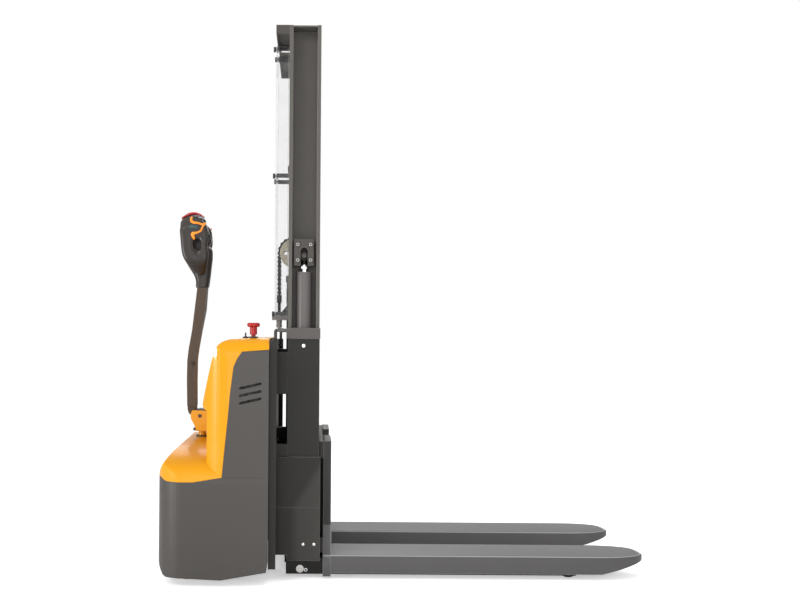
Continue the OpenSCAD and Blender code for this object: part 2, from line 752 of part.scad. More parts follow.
module castor_fork(side) {
    y = side * castor_y;
    x = castor_x - castor_trail;
    hw = castor_w / 2;
    color([0.45, 0.45, 0.46]) {
        rod_z(castor_x, y, 20, 140, 196);
        rod_z(castor_x, y, 62, 138, 148.7);
        for (s = [-1, 1]) translate([0, y + s * (hw + 5), 0]) across(-2.5, 2.5)
            polygon([[x - 12, castor_d / 2 - 10], [x + 12, castor_d / 2 - 10], [castor_x + 26, 138],
                [castor_x + 26, 142], [castor_x - 28, 142], [castor_x - 28, 138]]);
        rod_y(x, castor_d / 2, 12, y - hw - 12, y + hw + 12);
        for (s = [-1, 1]) translate([0, y + s * (hw + 5), 0]) rod_y(x, castor_d / 2, 26, -2.5, 2.5);
    }
}
module castor_wheel(side) {
    y = side * castor_y;
    color([0.12, 0.12, 0.12]) translate([castor_x - castor_trail, y, castor_d / 2]) rotate([90, 0, 0])
        rotate_extrude($fn = 72) polygon([[6 + fit, -castor_w / 2 - 1], [14, -castor_w / 2 - 1],
            [16, -castor_w / 2 + 6], [castor_d / 2 - 16, -castor_w / 2 + 6],
            [castor_d / 2 - 14, -castor_w / 2], [castor_d / 2 - 5, -castor_w / 2],
            [castor_d / 2, -castor_w / 2 + 7], [castor_d / 2, castor_w / 2 - 7],
            [castor_d / 2 - 5, castor_w / 2], [castor_d / 2 - 14, castor_w / 2],
            [castor_d / 2 - 16, castor_w / 2 - 6], [16, castor_w / 2 - 6],
            [14, castor_w / 2 + 1], [6 + fit, castor_w / 2 + 1]]);
}

// Mast

module mast_upright(side) {
    mirror([0, side > 0 ? 0 : 1, 0]) color([0.36, 0.35, 0.34])
        translate([0, 0, arm_top]) linear_extrude(mast_top - arm_top) {
            translate([xm, mast_i]) square([flange_t, mast_o - mast_i]);
            translate([xf - flange_t, mast_i]) square([flange_t, mast_o - mast_i]);
            translate([xm, web_i]) square([mast_d, web_t]);
        }
}
beam_x0 = xm - 11;
beam_x1 = xm + 34;
top_x = xm - 49;
module mast_crossbeams() {
    color([0.33, 0.32, 0.31]) {
        // foot beam between the support arms
        box(beam_x0, beam_x1, -arm_i, arm_i, 18, 70);
        // middle ties with a notch for the barrel
        for (z = [470, 1000]) difference() {
            box(xm, xm + 12, -mast_i, mast_i, z, z + 60);
            rod_z(x_cyl, 0, barrel_d + 2 * nib, z - 1, z + 70);
        }
        // top bridge, open round the pulley
        difference() {
            box(top_x, xm, -mast_o, mast_o, mast_top - 8, mast_top);
            box(x_chain_r + 2, xm + 1, -30, 30, mast_top - 20, mast_top + 1);
        }
        both() box(top_x, xm, mast_o - 8, mast_o, mast_top - 31, mast_top - 7);
        both() box(top_x, top_x + 4, guard_hw + 4, mast_o, mast_top - 31, mast_top - 7);
    }
}
arm_front = xh + 919;
module support_arm(side) {
    w = arm_wall;
    mirror([0, side > 0 ? 0 : 1, 0]) color([0.3, 0.29, 0.28]) difference() {
        box(xm - 2, arm_front, arm_i, arm_o, arm_bot, arm_top);
        box(xm - 3, arm_front - w, arm_i + w, arm_o - w, arm_bot - 1, arm_top - 5);
        // bottom edge raised in front of the shanks keeps clear of the floor
        box(arm_front - 30, arm_front + 1, arm_i - 1, arm_o + 1, arm_bot - 1, arm_bot + 14);
        // slot for the crank levers
        box(xm - 3, xm + 42, arm_y - 56, arm_y - 4, arm_top - 10, arm_top + 1);
        // wheel well
        box(x_wheel - 38, x_wheel + 34, arm_y - wheel_w / 2 - 4, arm_y + wheel_w / 2 + 4,
            arm_top - 10, arm_top + 1);
        rod_y(x_crank, crank_z, crank_d + 2 * fit, arm_i - 1, arm_o + 1);
        rod_y(x_swing, swing_z, 20 + 2 * fit, arm_i - 1, arm_o + 1);
    }
}
module lift_cylinder() {
    color([0.2, 0.2, 0.2]) difference() {
        union() {
            rod_z(x_cyl, 0, barrel_d, 70, barrel_top);
            rod_z(x_cyl, 0, barrel_d + 6, barrel_top - 1, barrel_top + 25);
            box(beam_x0 + 1, beam_x1 - 1, -34, 34, 70, 80);
        }
        rod_z(x_cyl, 0, rod_d + 2 * fit, 100, barrel_top + 30);
    }
}
module chain_anchor() {
    color([0.7, 0.66, 0.5]) {
        // bracket on the gland end of the mast tie
        difference() {
            box(x_chain_r - 27, xm - 0, -24, 24, 936, 957);
            rod_z(x_chain_r, 0, 12.4, 930, 960);
            rod_z(x_cyl, 0, barrel_d + 2 * nib, 930, 960);
        }
        both() across(34, 40) polygon([[xm - 40, 936], [xm, 936], [xm, 1060], [xm - 12, 1060], [xm - 12, 990], [xm - 40, 957]]);
        both() box(xm - 40, xm - 34, 22, 40, 936, 957);
        both() box(xm - 12, xm, 34, 60, 1000, 1060);
        // threaded rod, nuts and end block
        rod_z(x_chain_r, 0, 12, 900, 1006);
        for (z = [907, 922]) translate([x_chain_r, 0, z]) cylinder(d = 19 / cos(30), h = 14, $fn = 6);
        box(x_chain_r - 9, x_chain_r + 9, -13, 13, 1004, anchor_z);
    }
}
guard_x = xm - 57;
guard_hw = 80;
guard_lo = 947;
guard_z = [guard_lo, mast_top - 518, mast_top - 31];
module guard_panel() {
    color([0.85, 0.9, 0.92, 0.3]) difference() {
        union() {
            box(guard_x, guard_x + 3, -guard_hw, guard_hw, guard_lo + 3, mast_top - 12);
            both() box(guard_x, xm - 8, guard_hw - 3, guard_hw, guard_lo + 3, mast_top - 12);
        }
        both() for (z = guard_z) rod_x(64, z + 12, 6.6, guard_x - 5, guard_x + 10);
        // notch over the chain anchor
        box(guard_x - 1, guard_x + 5, -34, 34, 940, 964);
    }
}
module guard_brackets() {
    color([0.15, 0.15, 0.15]) both() for (i = [0:2]) {
        z = guard_z[i] + 4;
        // arm beside the panel and its rear tab
        box(guard_x + 3 + nib, xm - 5, guard_hw - 8, guard_hw - 3 - nib, z, z + 16);
        box(guard_x + 3 + nib, guard_x + 8, guard_hw - 30, guard_hw - 4, z, z + 16);
        // foot on the mast flange
        if (i < 2) box(xm - 5, xm, guard_hw - 8, mast_i + 40, z, z + 16);
        if (i == 2) box(top_x + 4, xm - 8, guard_hw - 8, guard_hw - 3 - nib, z, mast_top - 8);
        // knob behind the panel
        rod_x(64, z + 8, 6, guard_x - 1, guard_x + 4);
        rod_x(64, z + 8, 20, guard_x - 10, guard_x - nib);
    }
}
br_z0 = init_top + 22;
br_z1 = br_z0 + 96;
module initial_brackets() {
    color([0.28, 0.27, 0.26]) both() {
        difference() {
            union() {
                box(xmc - 36, xmc + 34, mast_o - 8, mast_o, br_z0, br_z1);
                for (x = [xmc - 36, xmc + 26]) box(x, x + 8, web_o, mast_o, br_z0, br_z1);
                box(xmc - 36, xmc + 34, web_o, mast_o, br_z1 - 14, br_z1);
            }
            // oblong window over the rod eye
            box(xmc - 13, xmc + 13, mast_o - 9, mast_o + 1, br_z0 - 1, eye_z + 16);
            rod_y(xmc, eye_z + 16, 26, mast_o - 9, mast_o + 1);
        }
        // eye pin and its bolts
        rod_y(xmc, eye_z, 16, web_o, mast_o - 2);
        for (x = [xmc - 23, xmc + 23]) for (z = [br_z0 + 20, br_z1 - 20])
            hex_y(x, z, 13, mast_o, mast_o + 5);
    }
}
module initial_rods() {
    color([0.8, 0.8, 0.82]) both() {
        rod_z(xmc, init_y, init_rod, init_seat + 10, init_top + 12);
        rod_z(xmc, init_y, 31, init_top + 11, init_top + 26);
        difference() {
            union() {
                rod_z(xmc, init_y, 20, init_top + 25, eye_z - 8);
                rod_y(xmc, eye_z, 32, init_y - 11, init_y + 11);
            }
            rod_y(xmc, eye_z, 16 + 2 * fit, init_y - 20, init_y + 20);
        }
    }
}

// Initial lift linkage

pin_d = 8;
crank_y = arm_y - 30;
rod_y0 = arm_y;
function crank_pin() = [x_crank + crank_r * sin(crank_a), crank_z + crank_r * cos(crank_a)];
function swing_pin() = [x_swing + swing_r * sin(swing_half), swing_z - swing_r * cos(swing_half)];
swing_total = asin((swing_z - wheel_z + initial_lift) / swing_l) - swing_up;
swing_half = swing_total / 2;
module crank_shaft() {
    color([0.5, 0.5, 0.5]) {
        rod_y(x_crank, crank_z, crank_d, -arm_o - 3, arm_o + 3);
        both() {
            rod_y(x_crank, crank_z, 28, arm_o + 0.5, arm_o + 3);
            hex_y(x_crank, crank_z, 19, arm_o + 3, arm_o + 7);
            // rear levers and their rollers
            translate([x_crank, 0, crank_z]) rotate([0, crank_a, 0]) {
                for (y = [crank_y - 22, crank_y + 14]) {
                    box(-crank_l, 0, y, y + 8, -9, 9);
                    rod_y(-crank_l, 0, 18, y, y + 8);
                    rod_y(0, 0, 38, y, y + 8);
                }
                rod_y(-crank_l, 0, 12, crank_y - 20, crank_y + 20);
                rod_y(-crank_l, 0, 2 * roller_r, crank_y - 13, crank_y + 13);
            }
            // rod levers
            for (y = [rod_y0 - 12, rod_y0 + 5]) translate([x_crank, 0, crank_z])
                rotate([0, crank_a, 0]) {
                    box(-6, 6, y, y + 7, 0, crank_r);
                    rod_y(0, crank_r, 15, y, y + 7);
                    rod_y(0, 0, 34, y, y + 7);
                }
            translate([x_crank, 0, crank_z]) rotate([0, crank_a, 0])
                rod_y(0, crank_r, pin_d, rod_y0 - 12, rod_y0 + 12);
        }
    }
}
module pull_rods() {
    c = crank_pin();
    s = swing_pin();
    h = 7;
    z0 = crank_z + crank_d / 2 + 1.5 + h;
    l = norm([s[0] - c[0], s[1] - z0]);
    t = atan2(s[1] - z0, s[0] - c[0]);
    slot = pin_d / 2 + 0.6;
    color([0.45, 0.45, 0.45]) both() translate([0, rod_y0, 0]) difference() {
        union() {
            translate([c[0], 0, z0]) rotate([0, -t, 0]) box(0, l, -4, 4, -h, h);
            box(c[0] - 11, c[0] + 11, -4, 4, z0 - h, z0 + h + 4);
            rod_y(s[0], s[1], 20, -4, 4);
        }
        // open hook over the pin of the crank lever
        box(c[0] - slot, c[0] + slot, -5, 5, crank_z, c[1] + 4.5);
        rod_y(c[0], c[1] + 4.5, 2 * slot, -5, 5);
        // oblong eye for the pin of the swing arm
        box(s[0] - slot, s[0] + slot, -5, 5, s[1] - 3, s[1] + 1);
        rod_y(s[0], s[1] - 3, 2 * slot, -5, 5);
        rod_y(s[0], s[1] + 1, 2 * slot, -5, 5);
    }
}
module swing_arm(side) {
    lever_a = swing_half;
    mirror([0, side > 0 ? 0 : 1, 0]) color([0.4, 0.4, 0.4]) {
        rod_y(x_swing, swing_z, 20, arm_i - 3, arm_o + 3);
        for (y = [arm_i + arm_wall + 2, arm_o - arm_wall - 10]) {
            translate([x_swing, 0, swing_z]) rotate([0, swing_up, 0]) {
                box(0, swing_l, y, y + 8, -9, 9);
                rod_y(0, 0, 22, y, y + 8);
                rod_y(swing_l, 0, 28, y, y + 8);
            }
        }
        rod_y(x_wheel, wheel_z, 20, arm_i + arm_wall + 2, arm_o - arm_wall - 2);
        // pull lever
        for (y = [rod_y0 - 12, rod_y0 + 5]) translate([x_swing, 0, swing_z]) rotate([0, -lever_a, 0]) {
            box(-6, 6, y, y + 7, -swing_r, 0);
            rod_y(0, -swing_r, 14, y, y + 7);
            rod_y(0, 0, 22, y, y + 7);
        }
        translate([x_swing, 0, swing_z]) rotate([0, -lever_a, 0])
            rod_y(0, -swing_r, pin_d, rod_y0 - 12, rod_y0 + 12);
    }
}
module load_wheel(side) {
    h = wheel_w / 2;
    r = wheel_d / 2;
    color([0.1, 0.1, 0.1]) translate([x_wheel, side * arm_y, wheel_z]) rotate([90, 0, 0])
        rotate_extrude($fn = 72) polygon([[10 + fit, -h - 4], [16, -h - 4], [16, -h + 6], [r - 10, -h + 6],
            [r - 8, -h], [r - 3, -h], [r, -h + 4], [r, h - 4], [r - 3, h], [r - 8, h], [r - 10, h - 6],
            [16, h - 6], [16, h + 4], [10 + fit, h + 4]]);
}

// Lift rod, pulley and chain

pulley_w = chain_w + 14;
root_r = chain_r - chain_h / 2 - nib;
module lift_rod() {
    color([0.8, 0.8, 0.82]) {
        rod_z(x_cyl, 0, rod_d, barrel_top - rod_travel - rod_guided, barrel_top + 40);
        // yoke with two cheeks round the pulley
        box(x_cyl - 24, x_cyl + 24, -pulley_w / 2 - 10, pulley_w / 2 + 10, barrel_top + 26, barrel_top + 44);
        both() difference() {
            union() {
                box(x_cyl - 24, x_cyl + 24, pulley_w / 2 + 2, pulley_w / 2 + 10, barrel_top + 26, pulley_z);
                rod_y(x_cyl, pulley_z, 48, pulley_w / 2 + 2, pulley_w / 2 + 10);
            }
        }
        rod_y(x_cyl, pulley_z, 30, -pulley_w / 2 - 14, pulley_w / 2 + 14);
    }
}
module pulley() {
    h = pulley_w / 2;
    color([0.78, 0.7, 0.42]) translate([x_cyl, 0, pulley_z]) rotate([90, 0, 0]) difference() {
        rotate_extrude($fn = 96) polygon([[15 + fit, -h], [chain_r - 2, -h], [chain_r - 2, -h + 3],
            [root_r, -chain_w / 2 - 1], [root_r, chain_w / 2 + 1], [chain_r - 2, h - 3],
            [chain_r - 2, h], [15 + fit, h]]);
        for (i = [0:5]) rotate([0, 0, i * 60]) translate([34, 0, -h - 1]) cylinder(d = 14, h = 2 * h + 2);
    }
}
// One chain plate between two pins along Z.
module chain_plate(y0, y1, p) {
    across(y0, y1) {
        circle(d = chain_h, $fn = 24);
        translate([0, p]) circle(d = chain_h, $fn = 24);
        translate([-chain_h / 2 + 2.4, 0]) square([chain_h - 4.8, p]);
    }
}
// Chain joint number i with alternate plates of pitch p.
module chain_link(i, p) {
    w = chain_w / 2;
    if (i % 2 == 0) {
        for (y = [-w + 1, w - 4]) chain_plate(y, y + 3, p);
        chain_plate(-1.6, 1.6, p);
    } else for (y = [-w + 4.2, w - 7.2]) chain_plate(y, y + 3, p);
    rod_y(0, 0, 7, -w, w);
}
module chain_run(x, z0, z1) {
    n = ceil((z1 - z0) / chain_p);
    p = (z1 - z0) / n;
    for (i = [0:n - 1]) translate([x, 0, z0 + p * i]) chain_link(i, p);
}
module chain_wrap() {
    n = ceil(180 * chain_r * 3.14159 / 180 / chain_p);
    a = 180 / n;
    c = 2 * chain_r * sin(a / 2);
    color([0.1, 0.1, 0.1]) translate([x_cyl, 0, pulley_z]) for (i = [0:n - 1])
        rotate([0, 90 + 0 - i * a, 0]) translate([0, 0, chain_r]) rotate([0, -90 - a / 2, 0])
            chain_link(i, c);
}
module chain_anchor_run() {
    color([0.1, 0.1, 0.1]) chain_run(x_chain_r, anchor_z + chain_h / 2 + 0.2, pulley_z - chain_h - 0.2);
}
car_anchor = 372;
module chain_carriage_run() {
    color([0.1, 0.1, 0.1]) chain_run(x_chain_f, car_anchor + chain_h / 2 + 0.2, pulley_z - chain_h - 0.2);
}

// Carriage and forks

module carriage_frame() {
    color([0.26, 0.25, 0.24]) {
        both() {
            box(xm + 20, xs, side_y - side_t, side_y, 80, 430);
            for (z = [car_lo, car_hi]) {
                rod_y(xmc, z, roller_pin, side_y - side_t, web_i - 1.5);
                rod_y(xmc, z, roller_pin + 10, side_y - 1, side_y + 2.5);
            }
        }
        // front bars
        box(xs - 14, xs, -fork_o, fork_o, 436, shank_top - 3);
        box(xs - 14, xs, -fork_o, fork_o, 96, 150);
        both() box(xs - 14, xs, side_y - side_t, side_y, 80, 470);
        // chain bracket
        box(x_chain_f - 12, xs - 10, -22, 22, car_anchor - 24, car_anchor);
        box(xs - 14, xs, -26, 26, car_anchor - 24, 440);
        both() across(14, 22) polygon([[xs - 13, car_anchor - 80], [xs - 13, car_anchor - 20],
            [x_chain_f - 8, car_anchor - 20]]);
        box(xs - 14, xs, -26, 26, car_anchor - 80, car_anchor);
    }
}
module fork(side) {
    w = fork_w;
    y = fork_i + w / 2;
    n = nose_w / 2;
    mirror([0, side > 0 ? 0 : 1, 0]) color([0.32, 0.31, 0.3]) {
        // shank with a notch over the support arm
        difference() {
            box(xs, xh + 1, fork_i, fork_o, 9, shank_top);
            box(xs - 1, xh + 2, fork_i + fork_t, fork_o - fork_t, 8, arm_top + 5);
        }
        // blade
        difference() {
            intersection() {
                across(fork_i, fork_o) polygon([[xh, fork_top], [xt - 60, fork_top], [xt - 25, fork_top - 1],
                    [xt - 10, fork_top - 4], [xt - 3, fork_top - 10], [xt, fork_top - 18],
                    [xt - 4, fork_top - 25], [xt - 16, fork_top - 28.5], [xt - 172, fork_bot],
                    [xh, fork_bot]]);
                linear_extrude(200) translate([0, y]) polygon([[xh - 1, -w / 2], [xt - taper_l, -w / 2],
                    [xt - 16, -n - 4], [xt - 6, -n + 4], [xt, -n + 16], [xt, n - 16], [xt - 6, n - 4],
                    [xt - 16, n + 4], [xt - taper_l, w / 2], [xh - 1, w / 2]]);
            }
            linear_extrude(fork_top - fork_t) translate([0, y]) polygon([[xh - 2, -w / 2 + fork_t],
                [xt - taper_l, -w / 2 + fork_t], [xt - 60, -n], [xt - 60, n],
                [xt - taper_l, w / 2 - fork_t], [xh - 2, w / 2 - fork_t]]);
        }
        // heel stiffener
        box(xh, xh + 2, fork_i, fork_o, fork_top - 1, 196);
    }
}
module roller(x, y0, z, w) {
    r = roller_d / 2;
    translate([x, y0, z]) rotate([-90, 0, 0]) rotate_extrude($fn = 72) polygon([[roller_pin / 2 + fit, 0],
        [r - 12, 0], [r - 10, 1.5], [r - 5, 1.5], [r - 4, 0], [r - 2, 0], [r, 2], [r, w - 2], [r - 2, w],
        [r - 4, w], [r - 5, w - 1.5], [r - 10, w - 1.5], [r - 12, w], [roller_pin / 2 + fit, w]]);
}
module carriage_rollers(z) {
    color("silver") both() roller(xmc, side_y + 3, z, carriage_roller_w - 1);
}
module guide_rollers(z) {
    color("silver") both() roller(xmc, mast_o - 38, z, guide_roller_w);
}

chassis_frame();
guide(1);  // guide_left
guide(-1);  // guide_right
hood_skirt();
hood_cover();
battery_pack();
hydraulic_unit();
controller();
initial_cylinders();
switch_bases();
deck_collar();
hydraulic_hoses();
guide_bolts();
steering_head();
steering_bracket();
drive_gearbox();
traction_motor();
drive_wheel_hub();
drive_wheel_tyre();
tiller_arm();
tiller_head();
tiller_trim();
travel_switch();
reverse_pad();
lift_rocker();
estop_button();
ignition_key();
castor_fork(1);  // castor_fork_left
castor_fork(-1);  // castor_fork_right
castor_wheel(1);  // castor_wheel_left
castor_wheel(-1);  // castor_wheel_right
mast_upright(1);  // mast_upright_left
mast_upright(-1);  // mast_upright_right
mast_crossbeams();
support_arm(1);  // support_arm_left
support_arm(-1);  // support_arm_right
lift_cylinder();
chain_anchor();
guard_panel();
guard_brackets();
initial_brackets();
initial_rods();
crank_shaft();
pull_rods();
swing_arm(1);  // swing_arm_left
swing_arm(-1);  // swing_arm_right
load_wheel(1);  // load_wheel_left
load_wheel(-1);  // load_wheel_right
lift_rod();
pulley();
chain_wrap();
chain_anchor_run();
chain_carriage_run();
carriage_frame();
fork(1);  // fork_left
fork(-1);  // fork_right
carriage_rollers(car_hi);  // carriage_rollers_upper
carriage_rollers(car_lo);  // carriage_rollers_lower
guide_rollers(guide_hi);  // guide_rollers_upper
guide_rollers(guide_lo);  // guide_rollers_lower
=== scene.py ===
import math

import bpy
import numpy as np
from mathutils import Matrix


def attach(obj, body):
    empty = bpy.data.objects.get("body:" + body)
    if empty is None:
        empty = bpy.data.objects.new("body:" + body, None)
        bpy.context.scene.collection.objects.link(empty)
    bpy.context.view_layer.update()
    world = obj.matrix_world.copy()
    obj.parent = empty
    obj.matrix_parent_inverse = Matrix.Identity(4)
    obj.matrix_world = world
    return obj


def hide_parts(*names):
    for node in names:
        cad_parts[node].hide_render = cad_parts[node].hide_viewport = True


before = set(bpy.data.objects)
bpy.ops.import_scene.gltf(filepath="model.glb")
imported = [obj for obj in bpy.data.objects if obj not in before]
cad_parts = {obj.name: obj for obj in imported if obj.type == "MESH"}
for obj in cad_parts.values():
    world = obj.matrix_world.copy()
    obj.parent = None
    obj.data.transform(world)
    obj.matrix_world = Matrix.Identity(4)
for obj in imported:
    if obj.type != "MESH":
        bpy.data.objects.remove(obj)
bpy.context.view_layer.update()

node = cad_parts


# Studio. The truck stands on a plain pale floor, seen square from its right side at
# hip height, with soft boxes over it and in front of it. The view is that of a long
# lens whose frame was cut off centre.
FOCAL_PX, FRAME_PX, SENSOR_MM = 893.0, 800.0, 36.0
FRAME_CENTRE_PX, LENS_AXIS_PX = (400.0, 303.0), (309.8, 331.4)
EYE = (-0.3485, -3.5035, 0.8926)
ROLL = 0.007

lens = bpy.data.cameras.new("lens")
lens.sensor_width = SENSOR_MM
lens.lens = FOCAL_PX / FRAME_PX * SENSOR_MM
lens.shift_x = (FRAME_CENTRE_PX[0] - LENS_AXIS_PX[0]) / FRAME_PX
lens.shift_y = (LENS_AXIS_PX[1] - FRAME_CENTRE_PX[1]) / FRAME_PX
camera = bpy.data.objects.new("camera", lens)
camera.location = EYE
camera.rotation_euler = (math.radians(90.0), -ROLL, 0.0)
bpy.context.scene.collection.objects.link(camera)
bpy.context.scene.camera = camera
bpy.context.scene.view_settings.view_transform = "Standard"


def soft_box(name, place, aim, size, watts):
    """A square area lamp at place that points at aim."""
    lamp = bpy.data.lights.new(name, "AREA")
    lamp.size = size
    lamp.energy = watts
    holder = bpy.data.objects.new(name, lamp)
    holder.location = place
    way = np.array(aim) - np.array(place)
    yaw = math.atan2(way[1], way[0]) - math.pi / 2
    tilt = math.atan2(np.hypot(way[0], way[1]), -way[2])
    holder.rotation_euler = (tilt, 0.0, yaw)
    bpy.context.scene.collection.objects.link(holder)


soft_box("key_light", (-2.6, -3.2, 3.4), (-0.3, 0.0, 0.9), 1.6, 58.0)
soft_box("front_light", (-0.2, -5.2, 1.1), (-0.2, 0.0, 0.9), 2.6, 55.0)
soft_box("top_light", (0.5, -0.2, 3.2), (0.5, -0.2, 0.0), 1.4, 36.0)
soft_box("fill_light", (2.8, -3.0, 2.2), (0.1, 0.0, 0.8), 2.0, 30.0)
soft_box("back_light", (-0.4, 3.2, 3.0), (-0.2, 0.0, 0.9), 2.2, 45.0)

# A long narrow lamp behind the truck, mirrored as a short bright line on the tower's corner.
strip = bpy.data.lights.new("strip_light", "AREA")
strip.shape = "RECTANGLE"
strip.size, strip.size_y = 1.0, 0.12
strip.energy = 85.0
strip_holder = bpy.data.objects.new("strip_light", strip)
strip_holder.location = (-4.2, -2.6, 0.74)
strip_holder.rotation_euler = (math.radians(90.0), 0.0, math.radians(-58.0))
bpy.context.scene.collection.objects.link(strip_holder)


class Socket:
    """An output of a shader node that Python's operators work on. Each operator on
    values adds the Math node that it stands for."""

    def __init__(self, tree, output):
        self.tree, self.output = tree, output

    def maths(self, operation, *values):
        step = self.tree.nodes.new("ShaderNodeMath")
        step.operation = operation
        for place, value in zip(step.inputs, values):
            if isinstance(value, Socket):
                self.tree.links.new(value.output, place)
            else:
                place.default_value = value
        return Socket(self.tree, step.outputs[0])

    def __add__(self, other):
        return self.maths("ADD", self, other)

    def __radd__(self, other):
        return self.maths("ADD", other, self)

    def __sub__(self, other):
        return self.maths("SUBTRACT", self, other)

    def __rsub__(self, other):
        return self.maths("SUBTRACT", other, self)

    def __mul__(self, other):
        return self.maths("MULTIPLY", self, other)

    def __rmul__(self, other):
        return self.maths("MULTIPLY", other, self)

    def __truediv__(self, other):
        return self.maths("DIVIDE", self, other)

    def cut(self):
        """The value held between 0 and 1."""
        return self.maths("MINIMUM", self.maths("MAXIMUM", self, 0.0), 1.0)


class Nodes:
    """A node tree. add() puts in any node by its type, with its settings set first and then
    the values or links of its sockets."""

    def __init__(self, tree):
        self.tree = tree

    def feed(self, target, sockets):
        for key, value in sockets.items():
            place = target.inputs[key]
            if isinstance(value, Socket):
                self.tree.links.new(value.output, place)
            elif isinstance(value, tuple) and len(value) == 3 and len(place.default_value) == 4:
                place.default_value = (*value, 1.0)
            else:
                place.default_value = value

    def add(self, kind, settings=None, sockets=None, out=0):
        made = self.tree.nodes.new("ShaderNode" + kind)
        for key, value in (settings or {}).items():
            setattr(made, key, value)
        self.feed(made, sockets or {})
        return Socket(self.tree, made.outputs[out])


class Finish(Nodes):
    """A material on one Principled shader, whose fixed values come by name."""

    def __init__(self, name, **fixed):
        self.material = bpy.data.materials.new(name)
        self.material.use_nodes = True
        super().__init__(self.material.node_tree)
        self.shader = self.tree.nodes["Principled BSDF"]
        self.feed(self.shader, {k.replace("_", " "): v for k, v in fixed.items()})

    def spot(self):
        """The point on the piece, in metres."""
        return self.add("TexCoord", out="Object")

    def noise(self, scale, detail=2.0, rough=0.5, stretch=(1.0, 1.0, 1.0)):
        """A cloud of values about 0.5, with lumps of 1 / scale metres."""
        where = self.add("Mapping", sockets={"Vector": self.spot(), "Scale": stretch})
        return self.add("TexNoise", sockets={"Vector": where, "Scale": scale, "Detail": detail,
                                             "Roughness": rough})

    def mix(self, share, low, high):
        """A colour between low and high. The node has sockets of the same name for each kind
        of value, so those of colours are given by their numbers."""
        return self.add("Mix", {"data_type": "RGBA"}, {0: share, 6: low, 7: high}, out=2)

    def edge(self, radius):
        """(rounded normal, edge mask): edges of the piece rounded to radius, and how far
        each point lies on such an edge, from 0 to 1."""
        rounded = self.add("Bevel", {"samples": 4}, {"Radius": radius})
        straight = self.add("NewGeometry", out="Normal")
        together = self.add("VectorMath", {"operation": "DOT_PRODUCT"},
                            {0: rounded, 1: straight}, out="Value")
        return rounded, ((1.0 - together) * 6.0).cut()

    def above(self, low, high):
        """0 below the height low, in metres, and 1 above high, or the other way round where
        low is the higher one."""
        up = self.add("SeparateXYZ", sockets={"Vector": self.spot()}, out="Z")
        return ((up - low) / (high - low)).cut()

    def relief(self, height, deep, normal=None):
        """Bump of the given depth in metres on the shader's normal."""
        sockets = {"Height": height, "Distance": deep, "Strength": 1.0}
        if normal is not None:
            sockets["Normal"] = normal
        self.feed(self.shader, {"Normal": self.add("Bump", sockets=sockets)})

    def paint(self, *names):
        """Gives the finish to CAD nodes that keep their own solids."""
        for name in names:
            slots = node[name].data.materials
            slots.clear()
            slots.append(self.material)


world = bpy.data.worlds.new("studio")
bpy.context.scene.world = world
world.use_nodes = True
sky = Nodes(world.node_tree)
sees = (sky.add("LightPath", out="Is Camera Ray") + sky.add("LightPath", out="Is Glossy Ray") * 0.3
        + sky.add("LightPath", out="Is Transmission Ray"))
sky.feed(sky.tree.nodes["Background"], {"Strength": (0.60 + sees * 0.40).cut(),
                                        "Color": (1.0, 1.0, 1.0)})


# Floor. A wide level sheet of pale studio board under the wheels. The camera sees it
# white where no shadow falls, so it runs into the white wall behind.
FLOOR_HALF, FLOOR_GLOW = 30.0, 0.47
floor_mesh = bpy.data.meshes.new("floor")
corners = [(FLOOR_HALF * x, FLOOR_HALF * y, 0.0) for x, y in ((-1, -1), (1, -1), (1, 1), (-1, 1))]
floor_mesh.from_pydata(corners, [], [(0, 1, 2, 3)])
floor = bpy.data.objects.new("floor", floor_mesh)
bpy.context.scene.collection.objects.link(floor)
board = Finish("studio_board", Roughness=0.9, Specular_IOR_Level=0.1)
pale = board.mix(board.noise(3.0) * 0.3, (0.93, 0.93, 0.93), (0.90, 0.90, 0.90))
board.feed(board.shader, {"Base Color": pale})
glow = board.mix(board.add("LightPath", out="Is Camera Ray"), (0.0, 0.0, 0.0), (FLOOR_GLOW,) * 3)
board.feed(board.shader, {"Emission Color": glow, "Emission Strength": 1.0})
floor_mesh.materials.append(board.material)


# Welded steelwork: bulkhead, drive plate and side guides of the tractor, with the mast,
# arms, forks and carriage. Cut and folded plate, shot-blasted and powder coated in a dark
# warm grey with a fine grain, paler along its edges, partly from rubbing and partly as a
# painted highlight.
def powder_coat(name, colour, edge_wear_and_highlight, grain=0.00006, rough=0.46, edge=0.0016, zones=()):
    """Powder coat: clouded colour, fine orange-peel relief and paler rounded edges, partly
    rubbed paint and partly painted highlight. Each zone is (mask, colour): the mask makes a
    value from the coat, and the colour shows at 1."""
    coat = Finish(name, Metallic=0.0, Specular_IOR_Level=0.24)
    rounded, on_edge = coat.edge(edge)
    cloud = coat.noise(5.0, 3.0, 0.6)
    speck = coat.noise(620.0, 2.0, 0.6)
    shade = coat.mix((cloud * 0.7 + speck * 0.5 - 0.1).cut(), colour,
                     tuple(c * 1.28 + 0.002 for c in colour))
    for mask, other in zones:
        shade = coat.mix(mask(coat), shade, coat.mix(
            cloud, other, tuple(c * 1.2 + 0.002 for c in other)))
    dust = coat.noise(38.0, 4.0, 0.65)
    shade = coat.mix(((dust - 0.56) * 1.6).cut() * 0.22, shade,
                     tuple(c * 1.5 + 0.01 for c in colour))
    # Paler rounded edges: rubbed paint, and a painted highlight where an edge catches light.
    shade = coat.mix((on_edge * (0.4 + dust * 0.5)).cut(), shade, edge_wear_and_highlight)
    coat.feed(coat.shader, {"Base Color": shade, "Roughness": rough + (cloud - 0.5) * 0.16
                            + (speck - 0.5) * 0.1})
    coat.relief(coat.noise(430.0, 3.0, 0.55), grain, rounded)
    return coat


frame_coat = powder_coat("frame_powder_coat", (0.014, 0.0130, 0.0115), (0.10, 0.095, 0.09))
frame_coat.paint("chassis_frame", "carriage_frame", "lift_cylinder")
arm_dark = powder_coat("support_arm_coat", (0.005, 0.0042, 0.0035), (0.03, 0.028, 0.026))
arm_dark.paint("support_arm_left", "support_arm_right")
